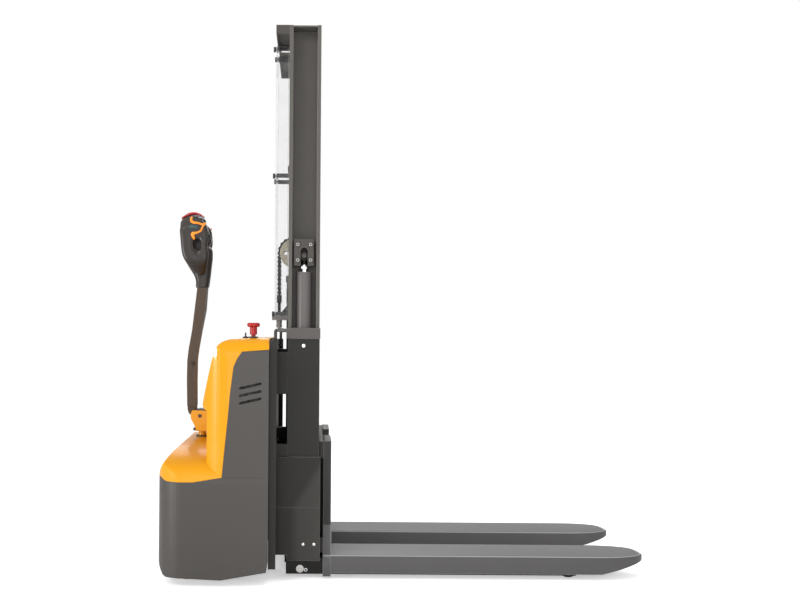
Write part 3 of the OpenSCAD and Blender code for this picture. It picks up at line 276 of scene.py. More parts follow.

# Heights of the fold across the guide's cheek plate, of the foot of its paler top cap and
# of the cheek's top, and the place and slope of the line beyond which a painted sheen
# shows where the cheek leans out.
FOLD_Z, CAP_FOOT_Z, CHEEK_TOP_Z = 0.261, 0.8655, 0.44
CHEEK_LINE_X, CHEEK_LINE_SLOPE = -0.415, 0.62


def cheek_painted_sheen(coat):
    """1 on the front part of the cheek, where a painted sheen stands for the light caught by
    the sheet leaning out a little: the edge of that part runs up at CHEEK_LINE_X and leans
    forward above the fold."""
    x, z = (coat.add("SeparateXYZ", sockets={"Vector": coat.spot()}, out=axis) for axis in "XZ")
    past = x - CHEEK_LINE_X - (z - FOLD_Z).cut() * CHEEK_LINE_SLOPE
    return (past / 0.03).cut() * coat.above(CHEEK_TOP_Z, CHEEK_TOP_Z - 0.006)


def over(low, high):
    """A mask that rises from 0 at the height low to 1 at high."""
    return lambda coat: coat.above(low, high)


def between(foot, head):
    """A mask that rises over the two heights of foot and falls back over those of head."""
    return lambda coat: coat.above(*foot) * coat.above(*head)


# A thin painted highlight along the fold of the cheek.
fold_highlight = between((FOLD_Z - 0.001, FOLD_Z - 0.0005), (FOLD_Z + 0.001, FOLD_Z + 0.0005))
# The front part of the guide's cheek gets a painted sheen.
guide_coat = powder_coat(
    "guide_powder_coat", (0.0135, 0.0125, 0.011), (0.26, 0.25, 0.24), edge=0.0025,
    zones=((cheek_painted_sheen, (0.032, 0.029, 0.0262)), (fold_highlight, (0.055, 0.052, 0.049)),
           (over(CAP_FOOT_Z, CAP_FOOT_Z + 0.0005), (0.078, 0.070, 0.066))))
guide_coat.paint("guide_left", "guide_right")

# The paler rounded flange edges of the uprights are a painted highlight.
mast_coat = powder_coat("mast_powder_coat", (0.080, 0.074, 0.067), (0.30, 0.285, 0.27), edge=0.003)
mast_coat.paint("mast_upright_left", "mast_upright_right")
cylinder_coat = powder_coat("cylinder_coat", (0.094, 0.087, 0.084), (0.24, 0.23, 0.225), rough=0.36)
cylinder_coat.paint("initial_cylinders")
bracket_coat = powder_coat("bracket_coat", (0.050, 0.045, 0.040), (0.16, 0.15, 0.14))
bracket_coat.paint("initial_brackets", "mast_crossbeams")

# The forks' top face is paler as painted light from above and brightest along its rounded
# edge as a painted highlight, and their shanks are dark from this height up.
SHANK_FOOT_Z = 0.196
# Paler top face of the forks: painted light from above.
painted_top_light = between((0.0872, 0.0876), (0.0892, 0.0888))
# A painted highlight along the rounded edge of the fork's top face.
painted_edge_highlight = between((0.0832, 0.0836), (0.0868, 0.0862))
# The pale edge colour of the fork coat is a painted highlight on its rounded edges.
fork_coat = powder_coat(
    "fork_powder_coat", (0.067, 0.0645, 0.065), (0.46, 0.455, 0.455), rough=0.42, edge=0.0045,
    zones=((painted_top_light, (0.115, 0.113, 0.113)), (painted_edge_highlight, (0.24, 0.237, 0.237)),
           (over(SHANK_FOOT_Z, SHANK_FOOT_Z + 0.0005), (0.017, 0.0166, 0.0148))))


# Hood skirt. Rotationally moulded shell of mass-coloured grey polyethylene that wraps the
# drive and batteries, with a fine leather-like grain and cooling slots.
def moulded(name, colour, rough=0.5, grain=0.00008, edge=0.002):
    """Mass-coloured moulding: even colour, fine grain, slightly paler rounded edges."""
    skin = Finish(name, Specular_IOR_Level=0.5)
    rounded, on_edge = skin.edge(edge)
    cloud = skin.noise(4.0, 3.0, 0.55)
    shade = skin.mix(cloud, tuple(c * 0.88 for c in colour), tuple(c * 1.14 for c in colour))
    shade = skin.mix(on_edge * 0.35, shade, tuple(c * 1.5 + 0.03 for c in colour))
    skin.feed(skin.shader, {"Base Color": shade, "Roughness": rough + (cloud - 0.5) * 0.14})
    skin.relief(skin.noise(900.0, 2.0, 0.5) + skin.noise(260.0, 1.0, 0.5) * 0.6, grain, rounded)
    return skin


skirt_skin = moulded("skirt_grey", (0.041, 0.0365, 0.033), 0.44, 0.00004)
skirt_skin.paint("hood_skirt")


# Hood deck and tower. Thick gloss-painted moulding in warm yellow, smooth enough for
# clear reflections, with a soft unevenness from the mould.
def gloss(name, colour, rough=0.2, wave=0.0005, coat=0.7):
    """Gloss paint on a moulding: clear coat over an even colour, with long low waves."""
    lacquer = Finish(name, Coat_Roughness=0.05, Specular_IOR_Level=0.2)
    rounded, on_edge = lacquer.edge(0.003)
    cloud = lacquer.noise(6.0, 2.0, 0.5)
    shade = lacquer.mix(cloud, tuple(c * 0.94 for c in colour),
                        tuple(min(1.0, c * 1.05) for c in colour))
    lacquer.feed(lacquer.shader, {"Base Color": shade, "Roughness": rough + cloud * 0.08,
                                  "Coat Weight": coat - cloud * 0.1})
    lacquer.relief(lacquer.noise(22.0, 1.0, 0.4), wave, rounded)
    return lacquer


yellow = gloss("hood_yellow", (0.655, 0.277, 0.0), 0.32, 0.0004, 0.24)
yellow.paint("hood_cover", "steering_head")


# Small black and dark mouldings: switch sockets, deck collar, key, rocker, controller and
# batteries. Matt glass-filled plastic with a fine spark-eroded grain, beside black rubber
# hoses and the light grey paint of the hydraulic unit.
black = moulded("black_moulding", (0.022, 0.022, 0.023), 0.5, 0.00005, 0.001)
black.paint("switch_bases", "deck_collar", "ignition_key", "lift_rocker", "controller",
            "battery_pack", "steering_bracket", "traction_motor", "guard_brackets")
hose_rubber = moulded("hose_rubber", (0.018, 0.018, 0.019), 0.42, 0.00005, 0.0006)
hose_rubber.paint("hydraulic_hoses")
tank = powder_coat("tank_paint", (0.30, 0.30, 0.29), (0.45, 0.45, 0.44))
tank.paint("hydraulic_unit")


# Emergency stop and reversing pad. Gloss red mouldings, the first pushed by hand to cut the
# power, the second pressed by the operator's body.
red = gloss("button_red", (0.35, 0.008, 0.011), 0.28, 0.0001, 0.5)
red.paint("estop_button")


# Bare and plated metal: crank, pull rods, castor forks and rollers of turned steel, hard
# chrome on the lift rods, yellow zinc on the pulley, dull steel on the chain anchor, cast
# iron on the gear case, the hub and the swing arms, and a chain black with oil.
def metal(name, colour, rough=0.32, streak=(1.0, 1.0, 1.0), grain=0.00003, patch=0.12, zone=None):
    """Bare metal: fine tool marks along one way and clouded roughness. A zone is (low, high,
    colour) of a black finish that starts between those heights."""
    bare = Finish(name, Metallic=1.0)
    rounded, on_edge = bare.edge(0.0009)
    marks = bare.noise(420.0, 3.0, 0.6, streak)
    cloud = bare.noise(24.0, 3.0, 0.6)
    shade = bare.mix((marks * 0.5 + cloud * 0.5).cut(), tuple(c * 0.78 for c in colour),
                     tuple(min(1.0, c * 1.16) for c in colour))
    shade = bare.mix(on_edge * 0.5, shade, tuple(min(1.0, c * 1.35) for c in colour))
    rough = rough + (cloud - 0.5) * patch + (marks - 0.5) * 0.1
    if zone:
        low, high, other = zone
        black_part = bare.above(low, high)
        shade = bare.mix(black_part, shade, other)
        rough = rough + black_part * 0.3
    bare.feed(bare.shader, {"Base Color": shade, "Roughness": rough})
    bare.relief(marks, grain, rounded)
    return bare


steel = metal("turned_steel", (0.50, 0.49, 0.47), 0.34, (1.0, 0.08, 1.0))
steel.paint("crank_shaft", "pull_rods", "castor_fork_left", "castor_fork_right",
            "carriage_rollers_upper", "carriage_rollers_lower", "guide_rollers_upper",
            "guide_rollers_lower")
chrome = metal("hard_chrome", (0.80, 0.80, 0.82), 0.10, (1.0, 1.0, 0.1), 0.000004, 0.04)
chrome.paint("lift_rod")
EYE_FOOT_Z = 1.133
rod_chrome = metal("chrome_with_black_eye", (0.80, 0.80, 0.82), 0.10, (1.0, 1.0, 0.1), 0.000004,
                   0.04, (EYE_FOOT_Z, EYE_FOOT_Z + 0.0004, (0.022, 0.021, 0.020)))
rod_chrome.paint("initial_rods")
zinc = metal("yellow_zinc", (0.27, 0.245, 0.19), 0.40)
zinc.paint("pulley")
ANCHOR_TOP_Z = 0.962
anchor_steel = metal("anchor_steel", (0.17, 0.165, 0.16), 0.42,
                     zone=(ANCHOR_TOP_Z, ANCHOR_TOP_Z + 0.0004, (0.012, 0.0115, 0.011)))
anchor_steel.paint("chain_anchor")
iron = metal("cast_iron", (0.16, 0.16, 0.155), 0.55, grain=0.0001)
iron.paint("swing_arm_left", "swing_arm_right", "drive_gearbox", "drive_wheel_hub")
chain_steel = metal("oiled_chain", (0.012, 0.0115, 0.011), 0.5)
chain_steel.paint("chain_wrap", "chain_anchor_run", "chain_carriage_run")


# Tyres of the drive wheel, load wheels and castors. Cast polyurethane, worn dull on the
# tread by the floor.
tyre = moulded("polyurethane_tyre", (0.030, 0.029, 0.028), 0.55, 0.00012, 0.0015)
tyre.paint("drive_wheel_tyre", "load_wheel_left", "load_wheel_right", "castor_wheel_left",
           "castor_wheel_right")


# Mast guard. Sheet of clear polycarbonate behind the uprights with its sides folded
# forwards, held on black knobs. Its cut edges look grey.
clear = Finish("clear_sheet", Roughness=0.04, IOR=1.5, Base_Color=(0.30, 0.31, 0.31))
film = clear.noise(9.0, 3.0, 0.6)
rim = clear.edge(0.004)[1]
clear.feed(clear.shader, {"Alpha": (0.03 + film * 0.06 + rim * 0.85).cut()})
clear.paint("guard_panel")


# Tiller. Rectangular steel arm under a grained grey head with looped grips, an orange
# trim, thumb wheels and a rocker.
arm_coat = powder_coat("tiller_arm_coat", (0.056, 0.038, 0.026), (0.20, 0.17, 0.15))
arm_coat.paint("tiller_arm")
head_skin = moulded("head_grain", (0.011, 0.0065, 0.0042), 0.40, 0.00006, 0.0035)
trim_skin = gloss("trim_orange", (0.90, 0.26, 0.015), 0.3, 0.0001, 0.4)
teal = moulded("thumb_wheel_teal", (0.018, 0.050, 0.055), 0.4, 0.00004, 0.001)


# Tiller head. Two-part moulding in grained dark grey plastic on the end of the arm: a
# tapering stem, a core with the switches and a looped grip at each side, all blended
# into each other by generous radii.
HEAD_STEM = ((1060, -446, -398, 33), (1066, -447, -396, 33), (1085, -447, -393, 32),
             (1108, -454, -390, 31), (1146, -478, -386, 32), (1177, -493, -383, 33),
             (1208, -495, -384, 33), (1222, -497, -395, 33), (1234, -500, -388, 33),
             (1250, -504, -389, 33), (1286, -510, -400, 33), (1306, -508, -407, 32),
             (1316, -502, -411, 31), (1327, -474, -411, 29), (1333, -462, -424, 22))
GRIP_OUTER = ((-397, 1140), (-391, 1180), (-393, 1206), (-395, 1222), (-392, 1240), (-393, 1264),
              (-398, 1294), (-414, 1312), (-455, 1311), (-486, 1303), (-500, 1286), (-498, 1240),
              (-491, 1185), (-474, 1150), (-452, 1120), (-424, 1108), (-406, 1116))
GRIP_INNER = ((-426, 1206), (-421, 1216), (-423, 1234), (-431, 1241), (-442, 1238), (-446, 1223),
              (-442, 1210), (-434, 1204))
GRIP_CENTRE = (-434.0, 1222.0)
GRIP_HALF, GRIP_Y = 15.0, 80.0
GRIP_LEAN, LEAN_TOP, LEAN_HEIGHT = 34.0, 1168.0, 60.0
BROW = ((24, -456, 1282, 40, 8), (36, -456, 1282, 42, 8), (47, -456, 1284, 43, 10),
        (56, -457, 1298, 44, 22), (66, -456, 1300, 45, 25), (93, -450, 1303, 38, 25))
FOOT_BRIDGE = ((22, -437, 1158, 34, 20), (50, -436, 1158, 32, 16), (84, -436, 1158, 32, 15))
A_TO_X = -348.5  # the stations above are set out from this place along the truck


def through(points, count, closed=False):
    """A smooth curve through the points: at each step the four nearest points are mixed
    by the Catmull-Rom weights, so the curve meets every point with an even bend."""
    p = np.array(points, float)
    spans = len(p) if closed else len(p) - 1
    at = np.arange(count) * spans / (count if closed else count - 1)
    first = np.minimum(at.astype(int), spans - 1)
    t = (at - first)[:, None]
    pick = [(first + k) % len(p) if closed else np.clip(first + k, 0, len(p) - 1)
            for k in (-1, 0, 1, 2)]
    a, b, c, d = (p[k] for k in pick)
    return 0.5 * (2 * b + (c - a) * t + (2 * a - 5 * b + 4 * c - d) * t ** 2
                  + (3 * b - a - 3 * c + d) * t ** 3)


def round_box(angle, power):
    """Cosine and sine of the angles drawn out to a rounded box: each is raised to 2 / power
    with its sign kept, so power 2 is a circle and higher powers come near a square."""
    c, s = np.cos(angle), np.sin(angle)
    return np.sign(c) * np.abs(c) ** (2 / power), np.sign(s) * np.abs(s) ** (2 / power)


def skin_of(grids):
    """(points, faces) of closed skins from grids of points in mm, each (rows, columns, 3)
    with its ring flag. Columns always run round; rows run round too on a ring, and else
    each end is closed by a fan to its middle, or on a "wall" by a strip from each column
    to the opposite one. Skins of negative volume are turned out."""
    points, faces, start = [], [], 0
    for grid, ring in grids:
        rows, cols = grid.shape[:2]
        number = np.arange(rows * cols).reshape(rows, cols)
        wall, ring = ring == "wall", ring is True
        below = np.roll(number, -1, axis=0) if ring else number[1:]
        above = number if ring else number[:-1]
        quads = np.stack([above, below, np.roll(below, -1, 1), np.roll(above, -1, 1)], -1)
        quads = quads.reshape(-1, 4)
        xyz = grid.reshape(-1, 3)
        if wall:
            k = np.arange(cols // 2 - 1)
            strip_low, strip_top = (
                np.stack([row[k], row[k + 1], row[cols - 2 - k], row[cols - 1 - k]], -1)
                for row in (number[0], number[-1]))
            quads, ring = np.concatenate([quads, strip_low, strip_top[:, ::-1]]), True
        tri = np.concatenate([quads[:, [0, 1, 2]], quads[:, [0, 2, 3]]])
        if not ring:
            ends = np.stack([grid[0].mean(0), grid[-1].mean(0)])
            xyz = np.concatenate([xyz, ends])
            low, top = rows * cols, rows * cols + 1
            fan_low = np.stack([np.full(cols, low), number[0], np.roll(number[0], -1)], -1)
            fan_top = np.stack([np.full(cols, top), np.roll(number[-1], -1), number[-1]], -1)
            tri = np.concatenate([tri, fan_low, fan_top])
        a, b, c = (xyz[tri[:, k]] - xyz.mean(0) for k in range(3))
        if np.einsum("ij,ij->i", a, np.cross(b, c)).sum() < 0:
            quads = quads[:, ::-1]
            if not ring:
                fan_low, fan_top = fan_low[:, ::-1], fan_top[:, ::-1]
        shapes = [quads.tolist()] if ring else [quads.tolist(), fan_low.tolist(), fan_top.tolist()]
        faces += [[v + start for v in face] for group in shapes for face in group]
        points.append(xyz)
        start += len(xyz)
    return np.concatenate(points) / 1000.0, faces


def moulding(name, grids, finish, body, replaced=(), smooth_angle=None):
    """An object from grids of points, smooth shaded, on its CAD body and material slot."""
    points, faces = skin_of(grids)
    mesh = bpy.data.meshes.new(name)
    mesh.from_pydata(points.tolist(), [], faces)
    mesh.materials.append(finish.material)
    mesh.polygons.foreach_set("use_smooth", [True] * len(mesh.polygons))
    if smooth_angle:
        mesh.set_sharp_from_angle(angle=math.radians(smooth_angle))
    made = bpy.data.objects.new(name, mesh)
    bpy.context.scene.collection.objects.link(made)
    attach(made, body)
    if replaced:
        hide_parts(*replaced)
    return made


def head_core():
    """Level slices up the head. Each is a rounded box between its rear and front edges,
    as wide as its half width, and the edges follow a smooth curve through HEAD_STEM."""
    z, rear, front, half = through(HEAD_STEM, 90).T[:, :, None]
    turn = np.linspace(0, 2 * np.pi, 56, endpoint=False)[None, :]
    c, s = round_box(turn, 3.2)
    x = (rear + front) / 2 + (front - rear) / 2 * c
    return np.stack([x + A_TO_X, half * s, z + 0 * x], -1)


def grip_loop(side):
    """A ring round GRIP_CENTRE. At each bearing the radius to the inner and the outer
    outline give the middle and the depth of a rounded box, GRIP_HALF wide across. Its foot
    leans in to the stem by GRIP_LEAN, along a smooth step LEAN_HEIGHT high below LEAN_TOP."""
    turn = np.linspace(-np.pi, np.pi, 96, endpoint=False)
    reach = []
    for outline in (GRIP_INNER, GRIP_OUTER):
        p = through(outline, 240, closed=True) - GRIP_CENTRE
        bearing = np.arctan2(p[:, 1], p[:, 0])
        order = np.argsort(bearing)
        reach.append(np.interp(turn, bearing[order], np.hypot(*p.T)[order], period=2 * np.pi))
    inner, outer = reach
    round_way = np.linspace(0, 2 * np.pi, 28, endpoint=False)[None, :]
    c, s = round_box(round_way, 2.6)
    r = ((inner + outer) / 2)[:, None] + ((outer - inner) / 2)[:, None] * c
    z = GRIP_CENTRE[1] + r * np.sin(turn)[:, None]
    fall = np.clip((LEAN_TOP - z) / LEAN_HEIGHT, 0, 1)
    y = GRIP_Y - GRIP_LEAN * fall ** 2 * (3 - 2 * fall)
    return np.stack([GRIP_CENTRE[0] + A_TO_X + r * np.cos(turn)[:, None],
                     side * (y + GRIP_HALF * s), z], -1)


def bridge(side, stations):
    """Slices across the truck from the core to a grip. Each station gives y, the middle
    and the half sizes of a rounded box in side view, with a smooth curve through them."""
    y, x, z, half_x, half_z = through(stations, 26).T[:, :, None]
    turn = np.linspace(0, 2 * np.pi, 40, endpoint=False)[None, :]
    c, s = round_box(turn, 3.0)
    return np.stack([x + A_TO_X + half_x * c, side * y + 0 * c, z + half_z * s], -1)


head_grids = [(head_core(), False)]
for side in (1, -1):
    head_grids += [(grip_loop(side), True), (bridge(side, BROW), False),
                   (bridge(side, FOOT_BRIDGE), False)]
head = moulding("tiller_head_shell", head_grids, head_skin, "tiller",
                ["tiller_head"])
blend_skin = head.modifiers.new("one_skin", "REMESH")
blend_skin.mode = "VOXEL"
blend_skin.voxel_size = 0.0017
blend_skin.use_smooth_shade = True
soften = head.modifiers.new("radii", "SMOOTH")
soften.factor, soften.iterations = 0.6, 9


# Orange trim. A gloss strip clipped along each outer flank of the head: a short upright
# stub, a branch to the front edge, and a branch back down to a broad end under the thumb wheel.
TRIM_UPPER = ((-453, 1328, 4.2), (-456, 1314, 4.8), (-448, 1306, 5.2), (-428, 1303, 3.8),
              (-411, 1298, 4.4), (-397, 1303, 3.6))
TRIM_LOWER = ((-405, 1300, 3.6), (-412, 1288, 3.6), (-420, 1273, 3.8), (-436, 1266, 4.4),
              (-450, 1262, 6.4), (-446, 1248, 5.0), (-443, 1240, 2.8))
LENS = ((-464, 1286, 5.0), (-447, 1290, 8.6), (-430, 1286, 5.0))
WINDOW = ((-447, 1321, 4.0), (-432, 1323, 6.5), (-418, 1319, 4.0))


def flank_strip(side, stations, inner, outer):
    """A strip along a smooth curve in side view. Its section is a rounded box as wide as
    the station says, from the plane y = inner out to y = outer."""
    a, z, half = through(stations, 60).T
    da, dz = np.gradient(a), np.gradient(z)
    size = np.hypot(da, dz)
    turn = np.linspace(0, 2 * np.pi, 20, endpoint=False)[None, :]
    c, s = round_box(turn, 2.6)
    taper = np.minimum(1.0, np.sqrt(np.minimum(np.arange(60), 59 - np.arange(60)) / 4.0 + 0.02))
    wide = (half * taper)[:, None] * c
    return np.stack([a[:, None] + A_TO_X - (dz / size)[:, None] * wide,
                     side * ((inner + outer) / 2 + (outer - inner) / 2 * s) + 0 * wide,
                     z[:, None] + (da / size)[:, None] * wide], -1)


def both_flanks(stations, inner, outer):
    """The strip on the left and on the right flank."""
    return [(flank_strip(side, stations, inner, outer), False) for side in (1, -1)]


trim_grids = []
for side in (1, -1):
    trim_grids += [(flank_strip(side, TRIM_UPPER, 90.5, 97.2), False),
                   (flank_strip(side, TRIM_LOWER, 90.5, 97.4), False)]
moulding("switch_side_lens", both_flanks(LENS, 90.0, 96.4), teal, "tiller")
moulding("head_side_window", both_flanks(WINDOW, 24.0, 32.4), black, "tiller")
moulding("tiller_trim_strips", trim_grids, trim_skin, "tiller", ["tiller_trim"])


# Reversing pad. A domed red cap along the crest of the head that is pressed by the
# operator's body, moulded in one piece with a stem that runs into the head.
PAD_RIDGE = ((-501, 1332, 36, 5.5), (-490, 1338, 41, 7.5), (-472, 1347, 43, 8.5),
             (-452, 1351, 44, 8.5), (-438, 1349.5, 43, 7.6), (-426, 1345.5, 40, 6.4),
             (-419, 1342, 34, 4.4))
PAD_BOW = 5.0


def pad_cap():
    """Slices along the crest. Each is a rounded box across the truck about the ridge line,
    as wide and thick as the station says, thinner and bowed down at its sides by the
    square of the cosine of the angle."""
    a, z, half, thick = through(PAD_RIDGE, 50).T[:, :, None]
    turn = np.linspace(0, 2 * np.pi, 48, endpoint=False)[None, :]
    c, s = round_box(turn, 2.8)
    crown = z - PAD_BOW * c ** 2 + thick * s * (1 - 0.25 * c ** 2)
    return np.stack([a + A_TO_X + 0 * c, half * c, crown], -1)


moulding("reverse_pad_cap", [(pad_cap(), False)], red, "reverse_button",
         ["reverse_pad"])


# Thumb wheels. Two fluted wheels in dark teal on one spindle, each with a rounded wing
# that the thumb pushes forwards or back to drive the truck.
SPINDLE_A, SPINDLE_Z, SPINDLE_RADIUS, SPINDLE_HALF = -443, 1304, 5.9, 45.5
WHEEL_RADIUS, WHEEL_INNER, WHEEL_OUTER, FLUTE, FLUTES = 11.0, 31.2, 45.8, 0.7, 24
POST_ROUND, WING_GAP = 1.5, 0.8
WING = ((1300, 7.0, 0.0), (1308, 6.6, 0.0), (1318, 7.0, 0.0), (1327, 7.8, 0.0), (1332, 7.6, 0.0),
        (1334.4, 5.6, 1.2), (1335, 2.0, 3.0))


def cross_post(low, high, radius, columns, flute=0.0, flutes=0):
    """A turned post on the spindle's axis from y = low to high: circles whose radius follows
    a quarter circle at each end, less cosine flutes between the ends."""
    end = np.linspace(0, np.pi / 2, 5)
    fall, inset = POST_ROUND * (1 - np.cos(end)), POST_ROUND * (1 - np.sin(end))
    along = np.concatenate([low + fall, high - fall[::-1]])[:, None]
    depth = radius - np.concatenate([inset, inset[::-1]])[:, None]
    turn = np.linspace(0, 2 * np.pi, columns, endpoint=False)[None, :]
    r = depth - flute * (0.5 + 0.5 * np.cos(flutes * turn)) * (depth > radius - 0.2)
    return np.stack([SPINDLE_A + A_TO_X + r * np.cos(turn), along + 0 * r,
                     SPINDLE_Z + r * np.sin(turn)], -1)


def wing(y0, y1):
    """A thumb wing: level slices up from the wheel, rounded boxes between y0 and y1. Each
    row of WING gives the height, the half width in side view and how far the sides come in."""
    z, half, lean = np.array(WING).T[:, :, None]
    turn = np.linspace(0, 2 * np.pi, 32, endpoint=False)[None, :]
    c, s = round_box(turn, 3.0)
    return np.stack([SPINDLE_A + A_TO_X + half * c,
                     (y0 + y1) / 2 + ((y1 - y0) / 2 - lean) * s, z + 0 * c], -1)


wheel_grids = [(cross_post(-SPINDLE_HALF, SPINDLE_HALF, SPINDLE_RADIUS, 24), False)]
for side in (1, -1):
    low, high = sorted((side * WHEEL_INNER, side * WHEEL_OUTER))
    wheel_grids += [(cross_post(low, high, WHEEL_RADIUS, 96, FLUTE, FLUTES), False),
                    (wing(low + WING_GAP, high - WING_GAP), False)]
moulding("thumb_wheel_pair", wheel_grids, teal, "thumb_wheels",
         ["travel_switch"], 40)


# Bolts. Hexagon bolts on the side guides, the foot of the mast and the crank shaft, and
# socket screws through the tiller and the lift brackets, all of steel, zinc-plated or
# blackened. Washers, collars on the chrome rods and cap plates on the mast go with them.
# Each place is x, z and the plane y of the face in metres. A bolt adds the width across its
# flats and its height, and a washer its radius, in mm.
HEX_BOLTS = {"mast": [(-0.3575, 0.030, 0.271, 7, 4.0)],
             "chassis": [(-0.3675, 0.130, 0.304, 7, 3.6), (-0.3285, 0.130, 0.304, 7, 3.6),
                         (-0.3705, 0.841, 0.2983, 9, 4.4)],
             "crank": [(-0.3785, 0.034, 0.274, 12, 3.8)]}
WASHERS = {"crank": (-0.3785, 0.034, 0.2739, 11.5), "mast": (-0.3575, 0.030, 0.271, 6.6)}
TILLER_SCREW, SCREW_FACE = (-0.8031, 0.766, 0.030), 0.288
SOCKET_SCREWS = [(x, z) for x in (-0.3935, -0.3475) for z in (1.149, 1.205)]
SCREW_PROFILE = ((6.4, 0), (6.4, 5.2), (5.8, 6.0), (3.6, 6.0), (3.3, 5.6), (3.3, 2.0))
ROD_COLLAR = (-370.5, 261.0, 1119.0, 1128.5)
CAP_X, CAP_Y = -370.5, 259.5
CAP_LEVELS = ((1990, 55.2, 27.2), (1990.6, 55.8, 27.8), (1994.4, 55.8, 27.8), (1995, 55.2, 27.2))


def hex_bolt(side, x, z, face, across_flats, high):
    """A bolt head out from the plane y = face: rows of rings for the washer, then of
    hexagons, whose radius is half the flats over the cosine of the angle to the nearest
    flat, cut down to a circle where the top is chamfered, and a shallow dished end."""
    turn = np.linspace(0, 2 * np.pi, 72, endpoint=False)
    flat = across_flats / 2 / np.cos((turn + np.pi / 6) % (np.pi / 3) - np.pi / 6)
    rings = ((0.0, 0.74, 0), (1.0, 0.74, 0), (1.6, 0.70, 0), (1.6, 0.58, 0), (1.7, 9.0, 1),
             (high - 1.2, 9.0, 1), (high - 0.4, 0.545, 1), (high, 0.49, 1), (high, 0.36, 0),
             (high - 0.5, 0.32, 0))
    rows = []
    for out, cap, is_hex in rings:
        reach = np.full(72, cap * across_flats)
        if is_hex:
            reach = np.minimum(flat, reach)
        rows.append(np.stack([1000 * x + reach * np.cos(turn),
                              side * (1000 * face + out) + 0 * reach,
                              1000 * z + reach * np.sin(turn)], -1))
    return np.stack(rows)


def turned(centre_x, centre_y, profile):
    """A turned piece about an upright axis: rings of (radius, height), all in mm."""
    turn = np.linspace(0, 2 * np.pi, 48, endpoint=False)[None, :]
    r, z = np.array(profile, float).T[:, :, None]
    return np.stack([centre_x + r * np.cos(turn), centre_y + r * np.sin(turn),
                     z + 0 * r * turn], -1)


def turned_across(side, x, z, face, profile):
    """A turned piece out from the plane y = face: the rings of turned() laid over so that
    their axis runs across the truck."""
    ring = turned(1000 * x, 1000 * z, profile)
    return np.stack([ring[..., 0], side * (1000 * face + ring[..., 2]), ring[..., 1]], -1)


def cap_plate(side):
    """Level rings of a rounded box: a plate over the outer side of a mast channel. Each
    level gives the height and the half sizes."""
    turn = np.linspace(0, 2 * np.pi, 64, endpoint=False)[None, :]
    c, s = round_box(turn, 14.0)
    z, half_x, half_y = np.array(CAP_LEVELS).T[:, :, None]
    return np.stack([CAP_X + half_x * c, side * CAP_Y + half_y * s, z + 0 * c], -1)


screw_steel = metal("screw_steel", (0.32, 0.315, 0.31), 0.34)
blackened = metal("blackened_bolt", (0.05, 0.048, 0.046), 0.42)
bolt_zinc = metal("bright_zinc", (0.74, 0.74, 0.73), 0.28)
arm_bolt = [(turned_across(side, *TILLER_SCREW, SCREW_PROFILE), False) for side in (1, -1)]
moulding("arm_bolt", arm_bolt, blackened, "tiller", smooth_angle=30)
screws = [(turned_across(side, x, z, SCREW_FACE, SCREW_PROFILE), False)
          for side in (1, -1) for x, z in SOCKET_SCREWS]
moulding("bracket_screws", screws, screw_steel, "mast", smooth_angle=30)
for body, (x, z, face, radius) in WASHERS.items():
    ring = ((radius - 4, 0), (radius, 0), (radius, 1.4), (radius - 0.5, 1.9), (radius - 4, 1.9))
    washers = [(turned_across(side, x, z, face, ring), True) for side in (1, -1)]
    moulding(f"{body}_washers", washers, bolt_zinc, body, smooth_angle=30)
moulding("mast_top_caps", [(cap_plate(side), False) for side in (1, -1)], mast_coat, "mast",
         smooth_angle=30)
x, y, low, high = ROD_COLLAR
collar = ((12, low), (15, low), (15.6, low + 1), (15.6, high - 1), (15, high), (12, high))
collars = [(turned(x, side * y, collar), False) for side in (1, -1)]
moulding("rod_collars", collars, bolt_zinc, "mast", smooth_angle=30)
for body, places in HEX_BOLTS.items():
    at_guide = body == "chassis"
    heads = [(hex_bolt(side, *place), False) for side in (1, -1) for place in places]
    moulding(f"{body}_bolts", heads, bolt_zinc if at_guide else blackened, body,
             ["guide_bolts"] if at_guide else [], 30)


# Forks. Each is a folded channel, open below for the support arm, with rounded upper
# edges and a rounded nose, on a forged shank with a notch over the arm and a heel plate.
FORK_Y, FORK_HALF, FORK_TOP, FORK_FOOT, FORK_WALL, FORK_BEND = 196.0, 89.0, 88.0, 22.0, 6.0, 6.0
FORK_HEEL, HOLLOW_TO, NOSE_FROM, NOSE_END = -267.5, 815.0, 690.0, 883.5
TOP_FALL, TOP_FALL_FROM = 11.0, 838.5
FOOT_RISE, FOOT_RISE_FROM, LIP_RISE, LIP_FROM = 38.0, 711.5, 3.0, 867.5
BOX_POWER = 40.0
# The shank, the legs on both sides of its notch and the heel plate: x, y and z from and to
# in mm, and how far their ends are rounded over.
SHANK_PIECES = ((-296.5, -267.5, 107, 285, 80, 499, 3.0),
                (-296.5, -267.5, 107, 113, 9, 83, 1.6),
                (-296.5, -267.5, 279, 285, 9, 83, 1.6),
                (-268.5, -265.6, 107.4, 284.6, 87, 196, 0.9))


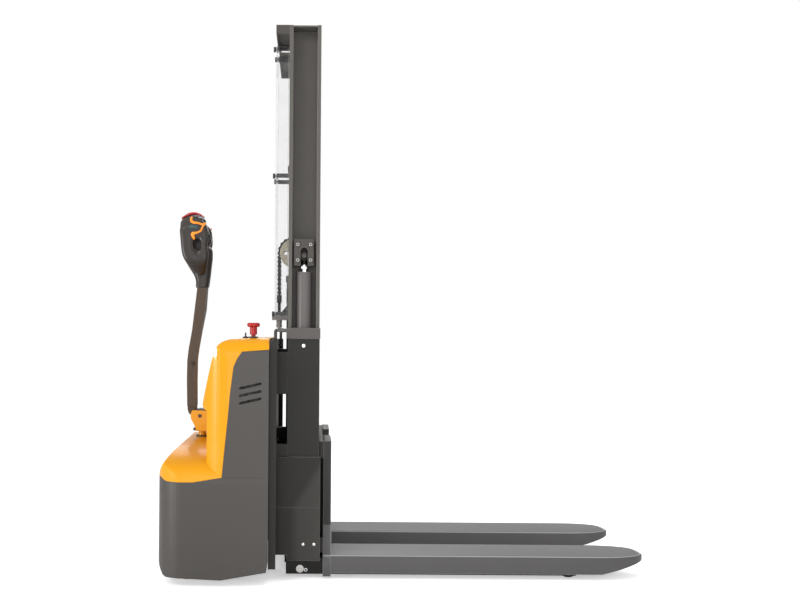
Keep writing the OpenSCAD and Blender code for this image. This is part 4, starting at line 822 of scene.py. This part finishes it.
def fork_blade(side):
    """Sections along the blade, each a wall out along the outer face and back along the
    inner one. Over the nose the half width is FORK_HALF times (1 - t^2.5)^0.5, the top falls
    by a quarter ellipse, and the foot rises on a straight line and then a steeper one."""
    x = np.concatenate([[FORK_HEEL], np.linspace(-150, NOSE_FROM, 9), NOSE_FROM
                        + (NOSE_END - NOSE_FROM) * np.sin(np.linspace(0.06, 1.52, 28))])[:, None]
    nose = np.clip((x - NOSE_FROM) / (NOSE_END - NOSE_FROM), 0, 1)
    half = FORK_HALF * np.sqrt(1 - nose ** 2.5)
    top = FORK_TOP - TOP_FALL * (1 - np.sqrt(1 - np.clip((x - TOP_FALL_FROM) / 45.0, 0, 1) ** 2))
    foot = (FORK_FOOT + FOOT_RISE * np.clip((x - FOOT_RISE_FROM) / 156.0, 0, 1)
            + LIP_RISE * np.clip((x - LIP_FROM) / 16.0, 0, 1))
    ceiling = np.where(x < HOLLOW_TO, top - FORK_WALL, foot + 0.4)
    r = np.minimum(FORK_BEND, 0.8 * half)
    bend = np.linspace(0, np.pi / 2, 6)[None, :]
    left_y, left_z = -half + r - r * np.cos(bend), top - r + r * np.sin(bend)
    outer_y = np.concatenate([-half, left_y, -left_y[:, ::-1], half], 1)
    outer_z = np.concatenate([foot, left_z, left_z[:, ::-1], foot], 1)
    wall = np.minimum(FORK_WALL, 0.5 * half)
    inner_y = np.clip(outer_y, -(half - wall), half - wall)
    inner_z = np.where(outer_z > foot + 0.01, ceiling, foot)
    y = np.concatenate([outer_y, inner_y[:, ::-1]], 1)
    z = np.concatenate([outer_z, inner_z[:, ::-1]], 1)
    return np.stack([x + 0 * y, side * (FORK_Y + y), z], -1)


def level_box(side, x0, x1, y0, y1, z0, z1, edge):
    """Level rings of a nearly square box whose ends are rounded over by the edge."""
    turn = np.linspace(0, 2 * np.pi, 96, endpoint=False)[None, :]
    c, s = round_box(turn, BOX_POWER)
    z, inset = np.array([(z0, edge), (z0 + edge / 3, edge / 3), (z0 + edge, 0), (z1 - edge, 0),
                         (z1 - edge / 3, edge / 3), (z1, edge)]).T[:, :, None]
    return np.stack([(x0 + x1) / 2 + ((x1 - x0) / 2 - inset) * c,
                     side * ((y0 + y1) / 2 + ((y1 - y0) / 2 - inset) * s), z + 0 * c], -1)


for side, name in ((1, "left"), (-1, "right")):
    grids = [(fork_blade(side), "wall")]
    grids += [(level_box(side, *piece), False) for piece in SHANK_PIECES]
    moulding(f"fork_{name}_forged", grids, fork_coat, "carriage",
             [f"fork_{name}"], 30)
